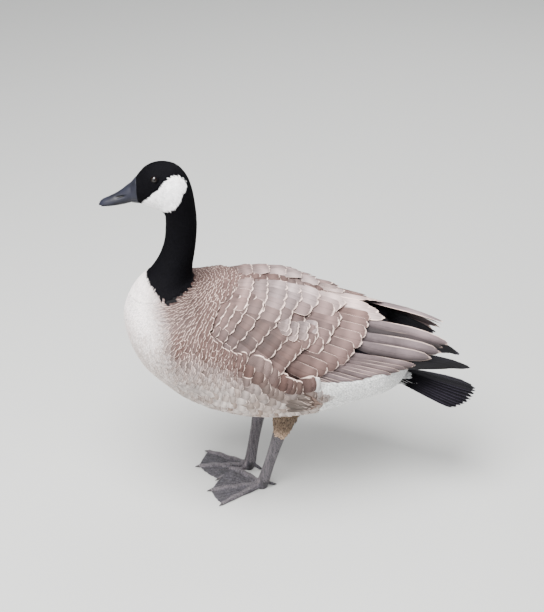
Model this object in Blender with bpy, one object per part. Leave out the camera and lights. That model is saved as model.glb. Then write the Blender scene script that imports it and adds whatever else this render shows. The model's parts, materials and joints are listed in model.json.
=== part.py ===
"""A Canada goose, life size, standing still with its neck up and its wings folded.

The bill points along -X, the bird's left side faces -Y and the soles stand on z = 0.
Sizes are in millimetres; mesh_object turns them into the scene's metres.
"""

import math
import random

import bmesh
import bpy
import numpy as np

METRES = 0.001

# Driving dimensions
BILL_TIP_X = -291.0
TAIL_TIP_X = 291.0
GAP = 0.3                  # between neighbouring pieces
BODY_SIDES = 24
HEAD_SIDES = 20
LIMB_SIDES = 10
EYE_CENTRE = (-205.0, 23.5, 554.0)
EYE_RADIUS = 5.8
LID_RADIUS = 1.1
WING_BED = 13.0            # depth of the folded wing above the torso's side
VANE_THICKNESS = 0.9
TARSUS_TOP_Z = 110.0
TARSUS_FOOT_Z = 17.0
SQUARE_CUT = 30.0          # half size of the cubes that cut a limb off square
TOE_RADIUS = 5.0
CLAW_LENGTH = 9.0
WEB_THICKNESS = 1.5
SIDES = {"left": -1.0, "right": 1.0}

# Rings of the head, neck and torso: dorsal x and z, ventral x and z, half width,
# and how full the upper and the lower half are (2 is an ellipse, less is more pointed)
BODY_RINGS = (
    (-241.0, 540.0, -241.0, 507.5, 12.5, 2.0, 2.0),
    (-231.0, 552.0, -230.0, 506.5, 17.0, 2.0, 2.0),
    (-219.0, 565.0, -221.0, 504.5, 21.5, 2.0, 2.0),
    (-204.0, 571.5, -212.0, 501.0, 24.5, 2.0, 2.1),
    (-188.0, 572.0, -203.5, 497.5, 26.0, 2.0, 2.1),
    (-173.0, 566.5, -196.5, 493.5, 26.5, 2.0, 2.1),
    (-160.0, 552.0, -192.5, 488.0, 26.0, 2.0, 2.1),
    (-152.0, 531.0, -191.5, 478.0, 24.0, 2.0, 2.0),
    (-147.5, 503.0, -192.0, 465.0, 22.0, 2.0, 2.0),
    (-145.5, 474.0, -193.5, 448.0, 21.5, 2.0, 2.0),
    (-147.0, 447.0, -198.0, 430.0, 22.5, 2.0, 2.0),
    (-150.0, 423.0, -206.0, 411.0, 25.5, 2.0, 2.0),
    (-153.5, 402.0, -220.0, 389.5, 31.0, 1.9, 2.0),
    (-154.0, 386.0, -238.0, 372.0, 41.0, 1.8, 2.0),
    (-150.0, 376.5, -252.0, 350.0, 56.0, 1.7, 1.95),
    (-144.0, 372.5, -260.5, 326.0, 72.0, 1.7, 1.9),
    (-136.0, 372.5, -260.5, 300.0, 85.0, 1.75, 1.85),
    (-126.0, 374.5, -252.0, 267.0, 96.0, 1.8, 1.8),
    (-114.0, 376.5, -236.0, 234.0, 105.0, 1.9, 1.75),
    (-100.0, 378.0, -212.0, 208.5, 112.0, 2.0, 1.75),
    (-84.0, 378.0, -180.0, 186.0, 118.0, 2.0, 1.8),
    (-64.0, 378.5, -144.0, 168.0, 123.0, 2.0, 1.85),
    (-42.0, 378.0, -104.0, 156.0, 126.0, 2.0, 1.9),
    (-16.0, 375.0, -60.0, 150.0, 126.5, 2.0, 1.95),
    (12.0, 366.5, -16.0, 149.5, 124.0, 2.0, 1.95),
    (40.0, 355.0, 26.0, 154.5, 117.5, 2.0, 1.95),
    (66.0, 343.5, 60.0, 163.5, 109.0, 2.0, 2.0),
    (92.0, 331.0, 90.0, 172.5, 99.0, 2.0, 2.0),
    (116.0, 317.0, 116.0, 179.0, 88.0, 2.0, 2.0),
    (138.0, 302.0, 139.0, 184.0, 76.0, 2.0, 2.0),
    (158.0, 286.0, 160.0, 188.0, 62.0, 2.0, 2.0),
    (174.0, 269.0, 174.0, 192.5, 47.0, 2.0, 2.0),
    (185.0, 252.0, 183.0, 199.5, 32.0, 2.0, 2.0),
    (191.0, 238.0, 189.0, 209.0, 18.0, 2.0, 2.0),
)
HEAD_RINGS = (0.0, 7.6)
NECK_RINGS = (7.63, 13.2)
TORSO_RINGS = (13.24, len(BODY_RINGS) - 1.0)
TORSO_STEP = 1.0           # of a ring, between the torso's faces

# The folded wings lie on this envelope: x, half width, centre z, half height
ENVELOPE = (
    (-190.0, 80.0, 272.0, 72.0),
    (-150.0, 105.0, 271.0, 93.0),
    (-110.0, 120.0, 269.0, 106.5),
    (-60.0, 126.0, 266.0, 113.5),
    (-10.0, 125.0, 262.0, 113.0),
    (40.0, 116.0, 258.0, 99.0),
    (90.0, 100.0, 256.0, 83.0),
    (140.0, 78.0, 254.0, 70.0),
    (190.0, 54.0, 250.0, 58.0),
    (240.0, 33.0, 240.0, 43.0),
    (295.0, 18.0, 222.0, 27.0),
)

# The wing's solid under its feathers: x, upper angle, lower angle, height over the envelope
WING_CORE = (
    (-149.0, 43.0, 52.0, -4.0),
    (-124.0, 21.0, 61.0, -4.2),
    (-94.0, 9.0, 70.0, -4.2),
    (-58.0, 6.0, 82.0, -4.4),
    (-20.0, 5.0, 86.0, -4.8),
    (20.0, 4.5, 89.0, -6.0),
    (60.0, 5.0, 92.0, -7.6),
    (100.0, 7.0, 92.0, -9.0),
    (130.0, 12.0, 89.0, -9.6),
    (156.0, 22.0, 86.0, -10.0),
)
WING_CORE_ROWS = 6
WING_CORE_INSIDE = -24.0

# Tiers of the folded wing, each from its upper to its lower feather.
# Tips and roots are (x, angle from the back's midline in degrees) on the envelope.
WING_TIERS = (
    # name, count, tips, roots, width, height past the root, height at tip, columns
    ("lesser_coverts", 3, ((-98, 17), (-110, 32), (-122, 45), (-139, 57)),
     ((-120, 11), (-131, 25), (-142, 38), (-152, 50)), 36, -2.6, 0.3, 2),
    ("lesser_coverts", 4, ((-76, 12), (-89, 29), (-105, 46), (-130, 63)),
     ((-106, 5), (-119, 21), (-133, 37), (-151, 55)), 36, -2.6, 0.3, 2),
    ("lesser_coverts", 4, ((-48, 24), (-64, 38), (-84, 53), (-112, 69)),
     ((-80, 15), (-96, 29), (-114, 44), (-137, 61)), 36, -2.8, 0.3, 2),
    ("lesser_coverts", 4, ((-20, 44), (-38, 57), (-58, 69), (-84, 80)),
     ((-55, 34), (-72, 46), (-90, 58), (-112, 70)), 31, -3.0, 0.2, 2),
    ("lesser_coverts", 4, ((14, 60), (0, 71), (-20, 81), (-48, 89)),
     ((-26, 51), (-40, 61), (-58, 71), (-84, 80)), 31, -3.4, 0.0, 2),
    ("scapulars", 3, ((-28, 8), (-30, 22), (-42, 38)),
     ((-72, 3), (-76, 16), (-88, 31)), 35, -2.6, 1.4, 2),
    ("scapulars", 3, ((3, 9), (-2, 24), (-18, 43)),
     ((-50, 3), (-56, 16), (-66, 34)), 38, -2.8, 1.6, 2),
    ("scapulars", 3, ((41, 8), (37, 22), (24, 38)),
     ((-20, 3), (-26, 15), (-36, 31)), 37, -3.2, 1.6, 2),
    ("scapulars", 2, ((80, 10), (68, 24)),
     ((8, 4), (0, 17)), 33, -3.8, 1.4, 2),
    ("scapulars", 1, ((116, 10), (112, 16)),
     ((30, 4), (28, 9)), 28, -5.0, 0.8, 2),
    ("median_coverts", 4, ((71, 28), (66, 40), (54, 52), (38, 63)),
     ((22, 21), (15, 32), (5, 43), (-8, 53)), 31, -4.8, 0.2, 2),
    ("greater_coverts", 6, ((120, 18), (114, 36), (104, 52), (84, 66), (56, 77), (26, 86)),
     ((52, 12), (46, 27), (38, 41), (22, 54), (0, 65), (-26, 74)), 33, -6.0, -0.4, 2),
    ("tertials", 4, ((236, 24), (240, 42), (230, 60), (212, 80)),
     ((78, 14), (76, 26), (74, 37), (72, 48)), 31, -7.6, -0.8, 3),
    ("secondaries", 5, ((194, 90), (176, 93), (150, 96), (120, 100), (86, 100), (54, 96)),
     ((88, 60), (74, 64), (56, 69), (36, 74), (12, 79), (-12, 81)), 31, -7.8, -2.6, 2),
    ("primaries", 4, ((284, 96), (273, 103), (258, 108), (236, 108)),
     ((138, 62), (134, 68), (130, 74), (124, 80)), 23, -9.6, -6.5, 2),
)
VANE_STEPS = {2: (0.0, 0.3, 0.82, 1.0), 3: (0.0, 0.3, 0.6, 0.86, 1.0)}
ROOT_DEPTH = 2.0           # how deep the vanes' roots are sunk in the core
ROOF_ROLL = 0.085          # how far a vane's upper edge stands over its lower edge, for each unit of width

# Tail fan
TAIL_VANES = 16
TAIL_ROOT = (168.0, 213.0)     # x, z of the quills' roots
TAIL_SLOPE = -0.345
TAIL_SPREAD = 25.0             # degrees to each side
TAIL_LAYER = 1.7               # how far each vane lies under the one nearer the middle
TAIL_ARCH = 6.0               # how far the outer vanes hang under the middle pair
TAIL_OUTER_SHARE = 0.76        # length of the outer vanes against the middle pair
TAIL_VANE_WIDTH = 23.0
TAIL_CORE = (
    # x, top z, bottom z, half width
    (160.0, 250.0, 196.0, 34.0),
    (178.0, 243.0, 193.0, 34.0),
    (196.0, 224.0, 190.0, 31.0),
    (212.0, 208.0, 189.5, 27.0),
    (224.0, 199.0, 189.0, 22.0),
)

# Legs: x, y, z, fore half depth, side half depth; y is for the right side
THIGHS = {
    "left": (
        (-6.0, 44.0, 205.0, 30.0, 25.0),
        (-8.0, 42.0, 180.0, 27.0, 23.0),
        (-11.0, 39.0, 155.0, 21.0, 19.0),
        (-14.0, 36.0, 134.0, 15.5, 14.0),
        (-17.0, 34.0, 118.0, 11.5, 10.5),
        (-19.0, 33.0, TARSUS_TOP_Z, 9.0, 8.0),
        (-20.5, 32.5, TARSUS_TOP_Z - 6.0, 9.0, 8.0),
    ),
    "right": (
        (-42.0, 44.0, 205.0, 30.0, 25.0),
        (-44.0, 42.0, 180.0, 27.0, 23.0),
        (-47.0, 39.0, 155.0, 21.0, 19.0),
        (-49.0, 36.0, 134.0, 15.5, 14.0),
        (-51.0, 34.0, 118.0, 11.5, 10.5),
        (-52.0, 33.0, TARSUS_TOP_Z, 9.0, 8.0),
        (-53.0, 32.8, TARSUS_TOP_Z - 6.0, 9.0, 8.0),
    ),
}
FOOT_BASE = {"left": (-47.0, 25.0), "right": (-69.0, 28.0)}
TARSUS_SHAPE = (
    # share of the way down, fore half depth, side half depth
    (0.0, 9.6, 8.0),
    (0.07, 10.2, 8.4),
    (0.18, 9.0, 6.9),
    (0.38, 7.7, 5.6),
    (0.62, 7.3, 5.2),
    (0.85, 7.8, 5.8),
    (1.0, 8.6, 6.8),
)
# Toes: heading in degrees from +X, length with the claw, lift of the middle, lift of the tip
TOES = {
    "left": {
        "inner": (143.0, 74.0, 8.6, 6.2),
        "middle": (186.0, 92.0, 0.0, 0.0),
        "outer": (215.0, 88.0, 0.0, 0.0),
    },
    "right": {
        "inner": (211.0, 68.0, 0.0, 0.0),
        "middle": (176.5, 91.0, 0.0, 0.0),
        "outer": (146.0, 90.0, 0.0, 0.0),
    },
}
TOE_SLIMNESS = {("right", "inner"): 0.72}
WEB_NOTCH = 0.07
HALLUX_LENGTH = 20.0

# Bill: x, top z, gape z, bottom z, half width
BILL = (
    (-241.4, 539.5, 515.0, 507.8, 12.4),
    (-248.0, 534.5, 513.0, 506.2, 12.0),
    (-257.0, 527.0, 510.8, 504.6, 11.4),
    (-266.0, 521.0, 508.6, 503.0, 10.8),
    (-275.0, 516.2, 506.6, 501.8, 10.0),
    (-283.0, 512.5, 504.8, 501.2, 8.2),
    (-288.0, 508.5, 503.6, 501.0, 5.8),
    (BILL_TIP_X, 504.6, 502.4, 501.4, 2.6),
)
BILL_ARC = 8
NOSTRIL = (-257.5, 520.5, 7.0, 1.7)     # x, z, half length, half height

COLOURS = {
    # name: colour, roughness
    "black_feathers": ((0.012, 0.011, 0.012), 0.7),
    "brown_feathers": ((0.22, 0.165, 0.13), 0.75),
    "breast_feathers": ((0.52, 0.46, 0.39), 0.8),
    "thigh_feathers": ((0.36, 0.27, 0.19), 0.85),
    "foot_skin": ((0.07, 0.06, 0.072), 0.55),
    "claw_horn": ((0.02, 0.018, 0.02), 0.4),
    "bill_horn": ((0.03, 0.032, 0.038), 0.4),
    "eye_gloss": ((0.012, 0.007, 0.004), 0.05),
}


def clear_scene():
    """Removes every object of the startup scene."""
    for obj in list(bpy.data.objects):
        bpy.data.objects.remove(obj, do_unlink=True)


def make_material(name):
    """A Principled BSDF with the named colour and roughness."""
    colour, roughness = COLOURS[name]
    material = bpy.data.materials.new(name)
    material.use_nodes = True
    shader = material.node_tree.nodes["Principled BSDF"]
    shader.inputs["Base Color"].default_value = (*colour, 1.0)
    shader.inputs["Roughness"].default_value = roughness
    return material


def mesh_object(name, points, faces, collection=None):
    """A mesh object from millimetre points, with its faces turned outwards."""
    mesh = bpy.data.meshes.new(name)
    mesh.from_pydata([tuple(METRES * float(c) for c in p) for p in points], [], faces)
    shape = bmesh.new()
    shape.from_mesh(mesh)
    bmesh.ops.recalc_face_normals(shape, faces=shape.faces)
    shape.to_mesh(mesh)
    shape.free()
    obj = bpy.data.objects.new(name, mesh)
    (collection or bpy.context.scene.collection).objects.link(obj)
    return obj


def finish(obj, parent, material, smooth_angle=40.0):
    """Gives a piece its parent, material and shading."""
    obj.parent = parent
    obj.data.materials.clear()
    obj.data.materials.append(bpy.data.materials.get(material) or make_material(material))
    obj.data.shade_smooth()
    obj.data.set_sharp_from_angle(angle=math.radians(smooth_angle))
    return obj


def spline(rows, t):
    """A Catmull-Rom curve through the rows, at t = 0 for the first row and 1 more for each next."""
    rows = np.asarray(rows, float)
    last = len(rows) - 1
    i = min(int(t), last - 1)
    u = t - i
    p1, p2 = rows[i], rows[i + 1]
    p0 = rows[i - 1] if i > 0 else 2 * p1 - p2
    p3 = rows[i + 2] if i + 2 <= last else 2 * p2 - p1
    return 0.5 * (2 * p1 + (p2 - p0) * u + (2 * p0 - 5 * p1 + 4 * p2 - p3) * u**2
                  + (3 * p1 - p0 - 3 * p2 + p3) * u**3)


def smooth_step(low, high, value):
    u = min(max((value - low) / (high - low), 0.0), 1.0)
    return u * u * (3.0 - 2.0 * u)


def loft(name, rings, collection=None):
    """A closed skin over rings of points that all have the same count."""
    count = len(rings[0])
    points = [p for ring in rings for p in ring]
    faces = []
    for r in range(len(rings) - 1):
        for k in range(count):
            a = r * count + k
            b = r * count + (k + 1) % count
            faces.append((a, b, b + count))
            faces.append((a, b + count, a + count))
    faces.append(tuple(range(count)))
    top = (len(rings) - 1) * count
    faces.append(tuple(top + k for k in range(count)))
    return mesh_object(name, points, faces, collection)


def oval(centre, up, side, sides, upper=2.0, lower=2.0):
    """A ring round centre, through centre + up and centre + side, with a fullness for each half."""
    ring = []
    for k in range(sides):
        a = 2.0 * math.pi * k / sides
        c, s = math.cos(a), math.sin(a)
        power = 2.0 / (upper if c > 0.0 else lower)
        c, s = math.copysign(abs(c) ** power, c), math.copysign(abs(s) ** power, s)
        ring.append(np.asarray(centre) + c * np.asarray(up) + s * np.asarray(side))
    return ring


def envelope(x, angle, height=0.0, side=-1.0):
    """A point over the folded wings' envelope, at an angle in degrees from the back's midline."""
    rows = np.asarray(ENVELOPE)
    t = float(np.interp(x, rows[:, 0], np.arange(len(rows))))
    _, width, middle, tall = spline(rows, t)
    a = math.radians(angle)
    normal = np.array([0.0, math.sin(a) / width, math.cos(a) / tall])
    normal /= np.linalg.norm(normal)
    point = np.array([x, width * math.sin(a), middle + tall * math.cos(a)]) + height * normal
    point[1] *= side
    return point


def wing_bed(point):
    """How far the torso's surface lies under the outer envelope, to leave room for a wing."""
    rows = np.asarray(ENVELOPE)
    _, width, middle, tall = spline(rows, float(np.interp(point[0], rows[:, 0], np.arange(len(rows)))))
    angle = math.degrees(math.atan2(abs(point[1]) / width, (point[2] - middle) / tall))
    along = smooth_step(-172.0, -112.0, point[0]) * (1.0 - 0.6 * smooth_step(110.0, 180.0, point[0]))
    round_side = 1.0 - smooth_step(84.0, 104.0, angle)
    near_back = 0.45 + 0.55 * smooth_step(3.0, 16.0, angle)
    return WING_BED * along * round_side * near_back


def body_ring(t, grow=0.0, sides=BODY_SIDES):
    """One ring of the head, neck and torso, which leaves a bed for each wing."""
    back_x, back_z, front_x, front_z, width, upper, lower = spline(BODY_RINGS, t)
    back, front = np.array([back_x, 0.0, back_z]), np.array([front_x, 0.0, front_z])
    centre, up = (back + front) / 2.0, (back - front) / 2.0
    up_share = 1.0 + grow / np.linalg.norm(up)
    ring = oval(centre, up * up_share, (0.0, width + grow, 0.0), sides, upper, lower)
    placed = []
    for point in ring:
        inward = centre - point
        depth = wing_bed(point)
        placed.append(point + inward / np.linalg.norm(inward) * depth)
    return placed


def body_piece(name, span, step, grow=0.0, sides=BODY_SIDES, collection=None):
    """A length of the body between two ring numbers."""
    start, end = span
    count = max(2, round((end - start) / step) + 1)
    rings = [body_ring(t, grow, sides) for t in np.linspace(start, end, count)]
    rings[-1] = [p + np.array([grow, 0.0, 0.0]) for p in rings[-1]]
    return loft(name, rings, collection)


def torso_cutter():
    """The torso grown by the gap, which cuts what grows from it."""
    return body_piece("torso_cutter", TORSO_RINGS, TORSO_STEP, grow=GAP + 0.1)


def boolean(obj, other, operation, solver="EXACT"):
    """Applies one Boolean with an object or a collection, and keeps the mesh."""
    modifier = obj.modifiers.new("boolean", "BOOLEAN")
    modifier.operation = operation
    modifier.solver = solver
    if isinstance(other, bpy.types.Collection):
        modifier.operand_type = "COLLECTION"
        modifier.collection = other
    else:
        modifier.object = other
    graph = bpy.context.evaluated_depsgraph_get()
    result = bpy.data.meshes.new_from_object(obj.evaluated_get(graph))
    obj.modifiers.clear()
    old = obj.data
    obj.data = result
    result.name = obj.name
    bpy.data.meshes.remove(old)
    return obj


def keep_largest(obj):
    """Leaves only the closed surface with the largest box."""
    shape = bmesh.new()
    shape.from_mesh(obj.data)
    bmesh.ops.triangulate(shape, faces=shape.faces)
    left = set(shape.faces)
    groups = []
    while left:
        group, front = set(), [left.pop()]
        while front:
            face = front.pop()
            group.add(face)
            for edge in face.edges:
                for other in edge.link_faces:
                    if other in left:
                        left.remove(other)
                        front.append(other)
        groups.append(group)
    groups.sort(key=lambda g: sum(f.calc_area() for f in g))
    scraps = [f for group in groups[:-1] for f in group]
    bmesh.ops.delete(shape, geom=scraps, context="FACES")
    shape.to_mesh(obj.data)
    shape.free()
    return obj


def fuse(obj, collection):
    """Joins the collection's pieces to the object and removes them."""
    boolean(obj, collection, "UNION", "MANIFOLD")
    remove_pieces(collection)
    return keep_largest(obj)


def remove_pieces(collection):
    for piece in list(collection.objects):
        bpy.data.objects.remove(piece, do_unlink=True)
    bpy.data.collections.remove(collection)


def helper_collection(name):
    collection = bpy.data.collections.new(name)
    bpy.context.scene.collection.children.link(collection)
    return collection


def cut(obj, cutter):
    """Takes the cutter's shape out of the object, and removes the cutter."""
    cutter.hide_render = True
    cutter.display_type = "WIRE"
    boolean(obj, cutter, "DIFFERENCE")
    bpy.data.objects.remove(cutter, do_unlink=True)
    return keep_largest(obj)


def slab(outer, inner, collection, name="vane"):
    """A closed plate between two like grids, triangulated alike on both faces."""
    rows, columns = len(outer), len(outer[0])
    points = [p for row in outer for p in row] + [p for row in inner for p in row]
    half = rows * columns
    faces = []
    for r in range(rows - 1):
        for c in range(columns - 1):
            a = r * columns + c
            b = a + columns
            for face in ((a, b, b + 1), (a, b + 1, a + 1)):
                faces.append(face)
                faces.append(tuple(half + k for k in reversed(face)))
    rim = [c for c in range(columns)]
    rim += [r * columns + columns - 1 for r in range(1, rows)]
    rim += [(rows - 1) * columns + c for c in range(columns - 2, -1, -1)]
    rim += [r * columns for r in range(rows - 2, 0, -1)]
    for a, b in zip(rim, rim[1:] + rim[:1]):
        faces.append((a, b, half + b))
        faces.append((a, half + b, half + a))
    return mesh_object(name, points, faces, collection)


def vane_width(share):
    """A vane's width along its length, against its widest."""
    return float(np.interp(share, (0.0, 0.2, 0.5, 0.8, 0.93, 1.0), (0.5, 0.86, 1.0, 0.88, 0.6, 0.22)))


def envelope_vane(tier, share, side, collection, chance):
    """One feather of a wing's tier, laid on the envelope like a roof tile."""
    _, _, tips, roots, width, low_height, tip_height, columns = tier
    line = share * (len(tips) - 1)
    tip = spline(tips, line) + np.array([chance.uniform(-3.0, 3.0), chance.uniform(-0.8, 0.8)])
    root = spline(roots, line)
    width *= chance.uniform(0.95, 1.05)
    outer, inner = [], []
    steps = VANE_STEPS[columns]
    for s in steps:
        x, angle = root + (tip - root) * s
        height = low_height + (tip_height - low_height) * (s - steps[1]) / (1.0 - steps[1])
        if s == 0.0:
            height = core_height(x) - ROOT_DEPTH
        half = 0.5 * width * vane_width(s)
        here = envelope(x, angle)
        by_angle = np.linalg.norm(envelope(x, angle + 1.0) - here)
        slant = (tip[1] - root[1]) * by_angle / (tip[0] - root[0])
        lean = math.hypot(1.0, slant)
        top_row, low_row = [], []
        for c in range(columns):
            across = half * (2.0 * c / (columns - 1) - 1.0)
            roll = -ROOF_ROLL * across
            ridge = 0.35 if columns == 3 and c == 1 else 0.0
            place = (x - across * slant / lean, angle + across / lean / by_angle)
            over = height + roll + ridge
            top_row.append(envelope(*place, over, side))
            low_row.append(envelope(*place, over - VANE_THICKNESS, side))
        outer.append(top_row)
        inner.append(low_row)
    return slab(outer, inner, collection)


def core_height(x):
    """The height of a wing's core over the envelope."""
    rows = np.asarray(WING_CORE)
    return float(np.interp(x, rows[:, 0], rows[:, 3]))


def wing_core(name, side):
    """The solid under a folded wing's feathers, from its outer face into the torso."""
    outer, inner = [], []
    for x, high, low, height in WING_CORE:
        angles = np.linspace(high, low, WING_CORE_ROWS)
        outer.append([envelope(x, a, height, side) for a in angles])
        inner.append([envelope(x, a, WING_CORE_INSIDE, side) for a in angles])
    return slab(outer, inner, None, name)


def make_wing(side_name, parent):
    """A folded wing: its core and its feathers in tiers, cut clear of the torso."""
    side = SIDES[side_name]
    wing = wing_core(f"wing_{side_name}", side)
    chance = random.Random(f"wing {side_name}")
    feathers = helper_collection("wing_feathers")
    for tier in WING_TIERS:
        count = tier[1]
        for k in range(count):
            envelope_vane(tier, (k + 0.5) / count, side, feathers, chance)
    fuse(wing, feathers)
    cut(wing, torso_cutter())
    return finish(wing, parent, "brown_feathers", 25.0)


def tail_core():
    """The short body of coverts that holds the quills."""
    rings = []
    for x, top, bottom, width in TAIL_CORE:
        centre = (x, 0.0, (top + bottom) / 2.0)
        rings.append(oval(centre, (0.0, 0.0, (top - bottom) / 2.0), (0.0, width, 0.0), 16))
    return loft("tail", rings)


def tail_vane(number, side, collection):
    """One tail feather; the middle pair lies on top and each next one under it."""
    pairs = TAIL_VANES // 2
    share = (number + 0.5) / pairs
    yaw = math.radians(TAIL_SPREAD) * share * side
    longest = (TAIL_TIP_X - TAIL_ROOT[0]) / math.cos(math.radians(TAIL_SPREAD) * 0.5 / pairs)
    length = longest * (1.0 - (1.0 - TAIL_OUTER_SHARE) * share**1.6)
    along = np.array([math.cos(yaw), math.sin(yaw), 0.0])
    across = np.array([-math.sin(yaw), math.cos(yaw), 0.0])
    outer, inner = [], []
    for s in (0.0, 0.5, 0.93, 1.0):
        half = 0.5 * TAIL_VANE_WIDTH * float(
            np.interp(s, (0.0, 0.5, 0.93, 1.0), (0.45, 0.92, 0.9, 0.35)))
        top_row, low_row = [], []
        for c in (-1.0, 1.0):
            flat = along * length * s + across * half * c
            z = TAIL_ROOT[1] + TAIL_SLOPE * flat[0] - TAIL_ARCH * (flat[1] / 46.0) ** 2
            z -= TAIL_LAYER * number
            top_row.append(np.array([TAIL_ROOT[0] + flat[0], flat[1], z]))
            low_row.append(np.array([TAIL_ROOT[0] + flat[0], flat[1], z - VANE_THICKNESS]))
        outer.append(top_row)
        inner.append(low_row)
    return slab(outer, inner, collection)


def make_tail(parent):
    tail = tail_core()
    vanes = helper_collection("tail_vanes")
    for number in range(TAIL_VANES // 2):
        for side in SIDES.values():
            tail_vane(number, side, vanes)
    fuse(tail, vanes)
    cut(tail, torso_cutter())
    return finish(tail, parent, "black_feathers", 25.0)


def limb(name, stations, span, step=0.5, collection=None):
    """A limb through stations of x, y, z, fore and side half depths, between two station numbers."""
    rings = []
    count = max(2, round((span[1] - span[0]) / step) + 1)
    for t in np.linspace(*span, count):
        x, y, z, fore, broad = spline(stations, t)
        ahead = spline(stations, min(t + 0.05, len(stations) - 1.0))[:3]
        behind = spline(stations, max(t - 0.05, 0.0))[:3]
        run = (ahead - behind) / np.linalg.norm(ahead - behind)
        side = np.cross(run, (1.0, 0.0, 0.0))
        side /= np.linalg.norm(side)
        rings.append(oval((x, y, z), np.cross(side, run) * fore, side * broad, LIMB_SIDES))
    return loft(name, rings, collection)


def floor_cutter():
    """A block under the floor, which gives the soles their flats."""
    size = 400.0
    corners = [(sx * size, sy * size, z) for z in (-60.0, 0.0) for sy in (-1, 1) for sx in (-1, 1)]
    faces = [(0, 2, 3, 1), (4, 5, 7, 6), (0, 1, 5, 4), (2, 6, 7, 3), (0, 4, 6, 2), (1, 3, 7, 5)]
    return mesh_object("floor_cutter", corners, faces)


def leg_line(side_name):
    """The tarsus's centre line, from the ankle to the toes' base."""
    side = SIDES[side_name]
    ankle = THIGHS[side_name][-2]
    base = FOOT_BASE[side_name]
    top = np.array([ankle[0], side * ankle[1], ankle[2] + 4.0])
    low = np.array([base[0], side * base[1], TARSUS_FOOT_Z - 8.0])
    return top, low


def make_leg(side_name, parent):
    """The feathered thigh and the bare tarsus below it."""
    side = SIDES[side_name]
    stations = [(x, side * y, z, fore, broad) for x, y, z, fore, broad in THIGHS[side_name]]
    thigh = limb(f"thigh_{side_name}", stations, (0.0, len(stations) - 1.0))
    cut(thigh, torso_cutter())
    cut(thigh, box_cutter((stations[-2][0], stations[-2][1], TARSUS_TOP_Z - SQUARE_CUT), SQUARE_CUT))
    finish(thigh, parent, "thigh_feathers")
    top, low = leg_line(side_name)
    shank = [(*(top + (low - top) * share), fore, broad) for share, fore, broad in TARSUS_SHAPE]
    end = (len(shank) - 1.0) * 0.985
    tarsus = limb(f"tarsus_{side_name}", shank, (0.0, end))
    cut(tarsus, box_cutter((top[0], top[1], TARSUS_TOP_Z - GAP + SQUARE_CUT), SQUARE_CUT))
    cut(tarsus, box_cutter((low[0], low[1], TARSUS_FOOT_Z + GAP - SQUARE_CUT), SQUARE_CUT))
    finish(tarsus, parent, "foot_skin")


def box_cutter(centre, half):
    """A cube that cuts a limb off square."""
    signs = [(sx, sy, sz) for sz in (-1, 1) for sy in (-1, 1) for sx in (-1, 1)]
    corners = [tuple(c + half * s for c, s in zip(centre, sign)) for sign in signs]
    faces = [(0, 2, 3, 1), (4, 5, 7, 6), (0, 1, 5, 4), (2, 6, 7, 3), (0, 4, 6, 2), (1, 3, 7, 5)]
    return mesh_object("box_cutter", corners, faces)


def toe_point(side_name, toe, share):
    """A point on a toe's centre line, with the toe's half depth there."""
    heading, length, middle_lift, tip_lift = TOES[side_name][toe]
    base = FOOT_BASE[side_name]
    slim = TOE_SLIMNESS.get((side_name, toe), 1.0)
    knuckles = 0.35 * math.cos(share * 6.0 * math.pi)
    radius = slim * (TOE_RADIUS * (1.0 - 0.42 * share) + knuckles)
    a = math.radians(heading)
    curl = math.radians(5.0) * (share - 0.5)
    x = base[0] + length * share * math.cos(a + curl)
    y = SIDES[side_name] * base[1] + length * share * math.sin(a + curl)
    lift = middle_lift * math.sin(math.pi * min(share * 0.75, 1.0)) ** 2
    lift += (tip_lift - middle_lift * math.sin(math.pi * 0.75) ** 2) * share**2
    rise = 4.0 * max(0.0, 1.0 - share / 0.25) ** 2
    return np.array([x, y, 0.84 * radius + lift + rise]), radius


def toe_stations(side_name, toe):
    length = TOES[side_name][toe][1]
    end = 1.0 - CLAW_LENGTH / length
    stations = []
    for share in np.linspace(0.0, end, 5):
        point, radius = toe_point(side_name, toe, share)
        stations.append((*point, radius, radius * 0.95))
    return stations


def web_reach(side_name, toe):
    """How far along a toe its web goes, just short of the claw."""
    return 1.0 - (CLAW_LENGTH + 1.0) / TOES[side_name][toe][1]


def web(side_name, first, second, collection):
    """The skin between two toes, with a hollow front edge."""
    outer, inner = [], []
    for s in np.linspace(0.08, 1.0, 4):
        top_row, low_row = [], []
        for t in np.linspace(0.0, 1.0, 5):
            hollow = 1.0 - WEB_NOTCH * 4.0 * t * (1.0 - t)
            a, _ = toe_point(side_name, first, s * web_reach(side_name, first) * hollow)
            b, _ = toe_point(side_name, second, s * web_reach(side_name, second) * hollow)
            point = a + (b - a) * t
            point[2] -= 0.8 * 4.0 * t * (1.0 - t)
            top_row.append(point + np.array([0.0, 0.0, WEB_THICKNESS / 2.0]))
            low_row.append(point - np.array([0.0, 0.0, WEB_THICKNESS / 2.0]))
        outer.append(top_row)
        inner.append(low_row)
    return slab(outer, inner, collection, "web")


def claw(name, point, heading, radius, length, parent):
    """A short bent claw that starts at a toe's end face."""
    a = math.radians(heading)
    rings = []
    for share in (0.0, 0.35, 0.7, 1.0):
        r = radius * (1.0 - 0.78 * share**1.3)
        centre = np.array([
            point[0] + math.cos(a) * (GAP + (length - GAP) * share),
            point[1] + math.sin(a) * (GAP + (length - GAP) * share),
            point[2] - (point[2] - radius * 0.45) * 0.75 * share**2,
        ])
        rings.append(oval(centre, (0.0, 0.0, r), (-math.sin(a) * r, math.cos(a) * r, 0.0), 8))
    obj = loft(name, rings)
    cut(obj, floor_cutter())
    return finish(obj, parent, "claw_horn")


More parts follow.
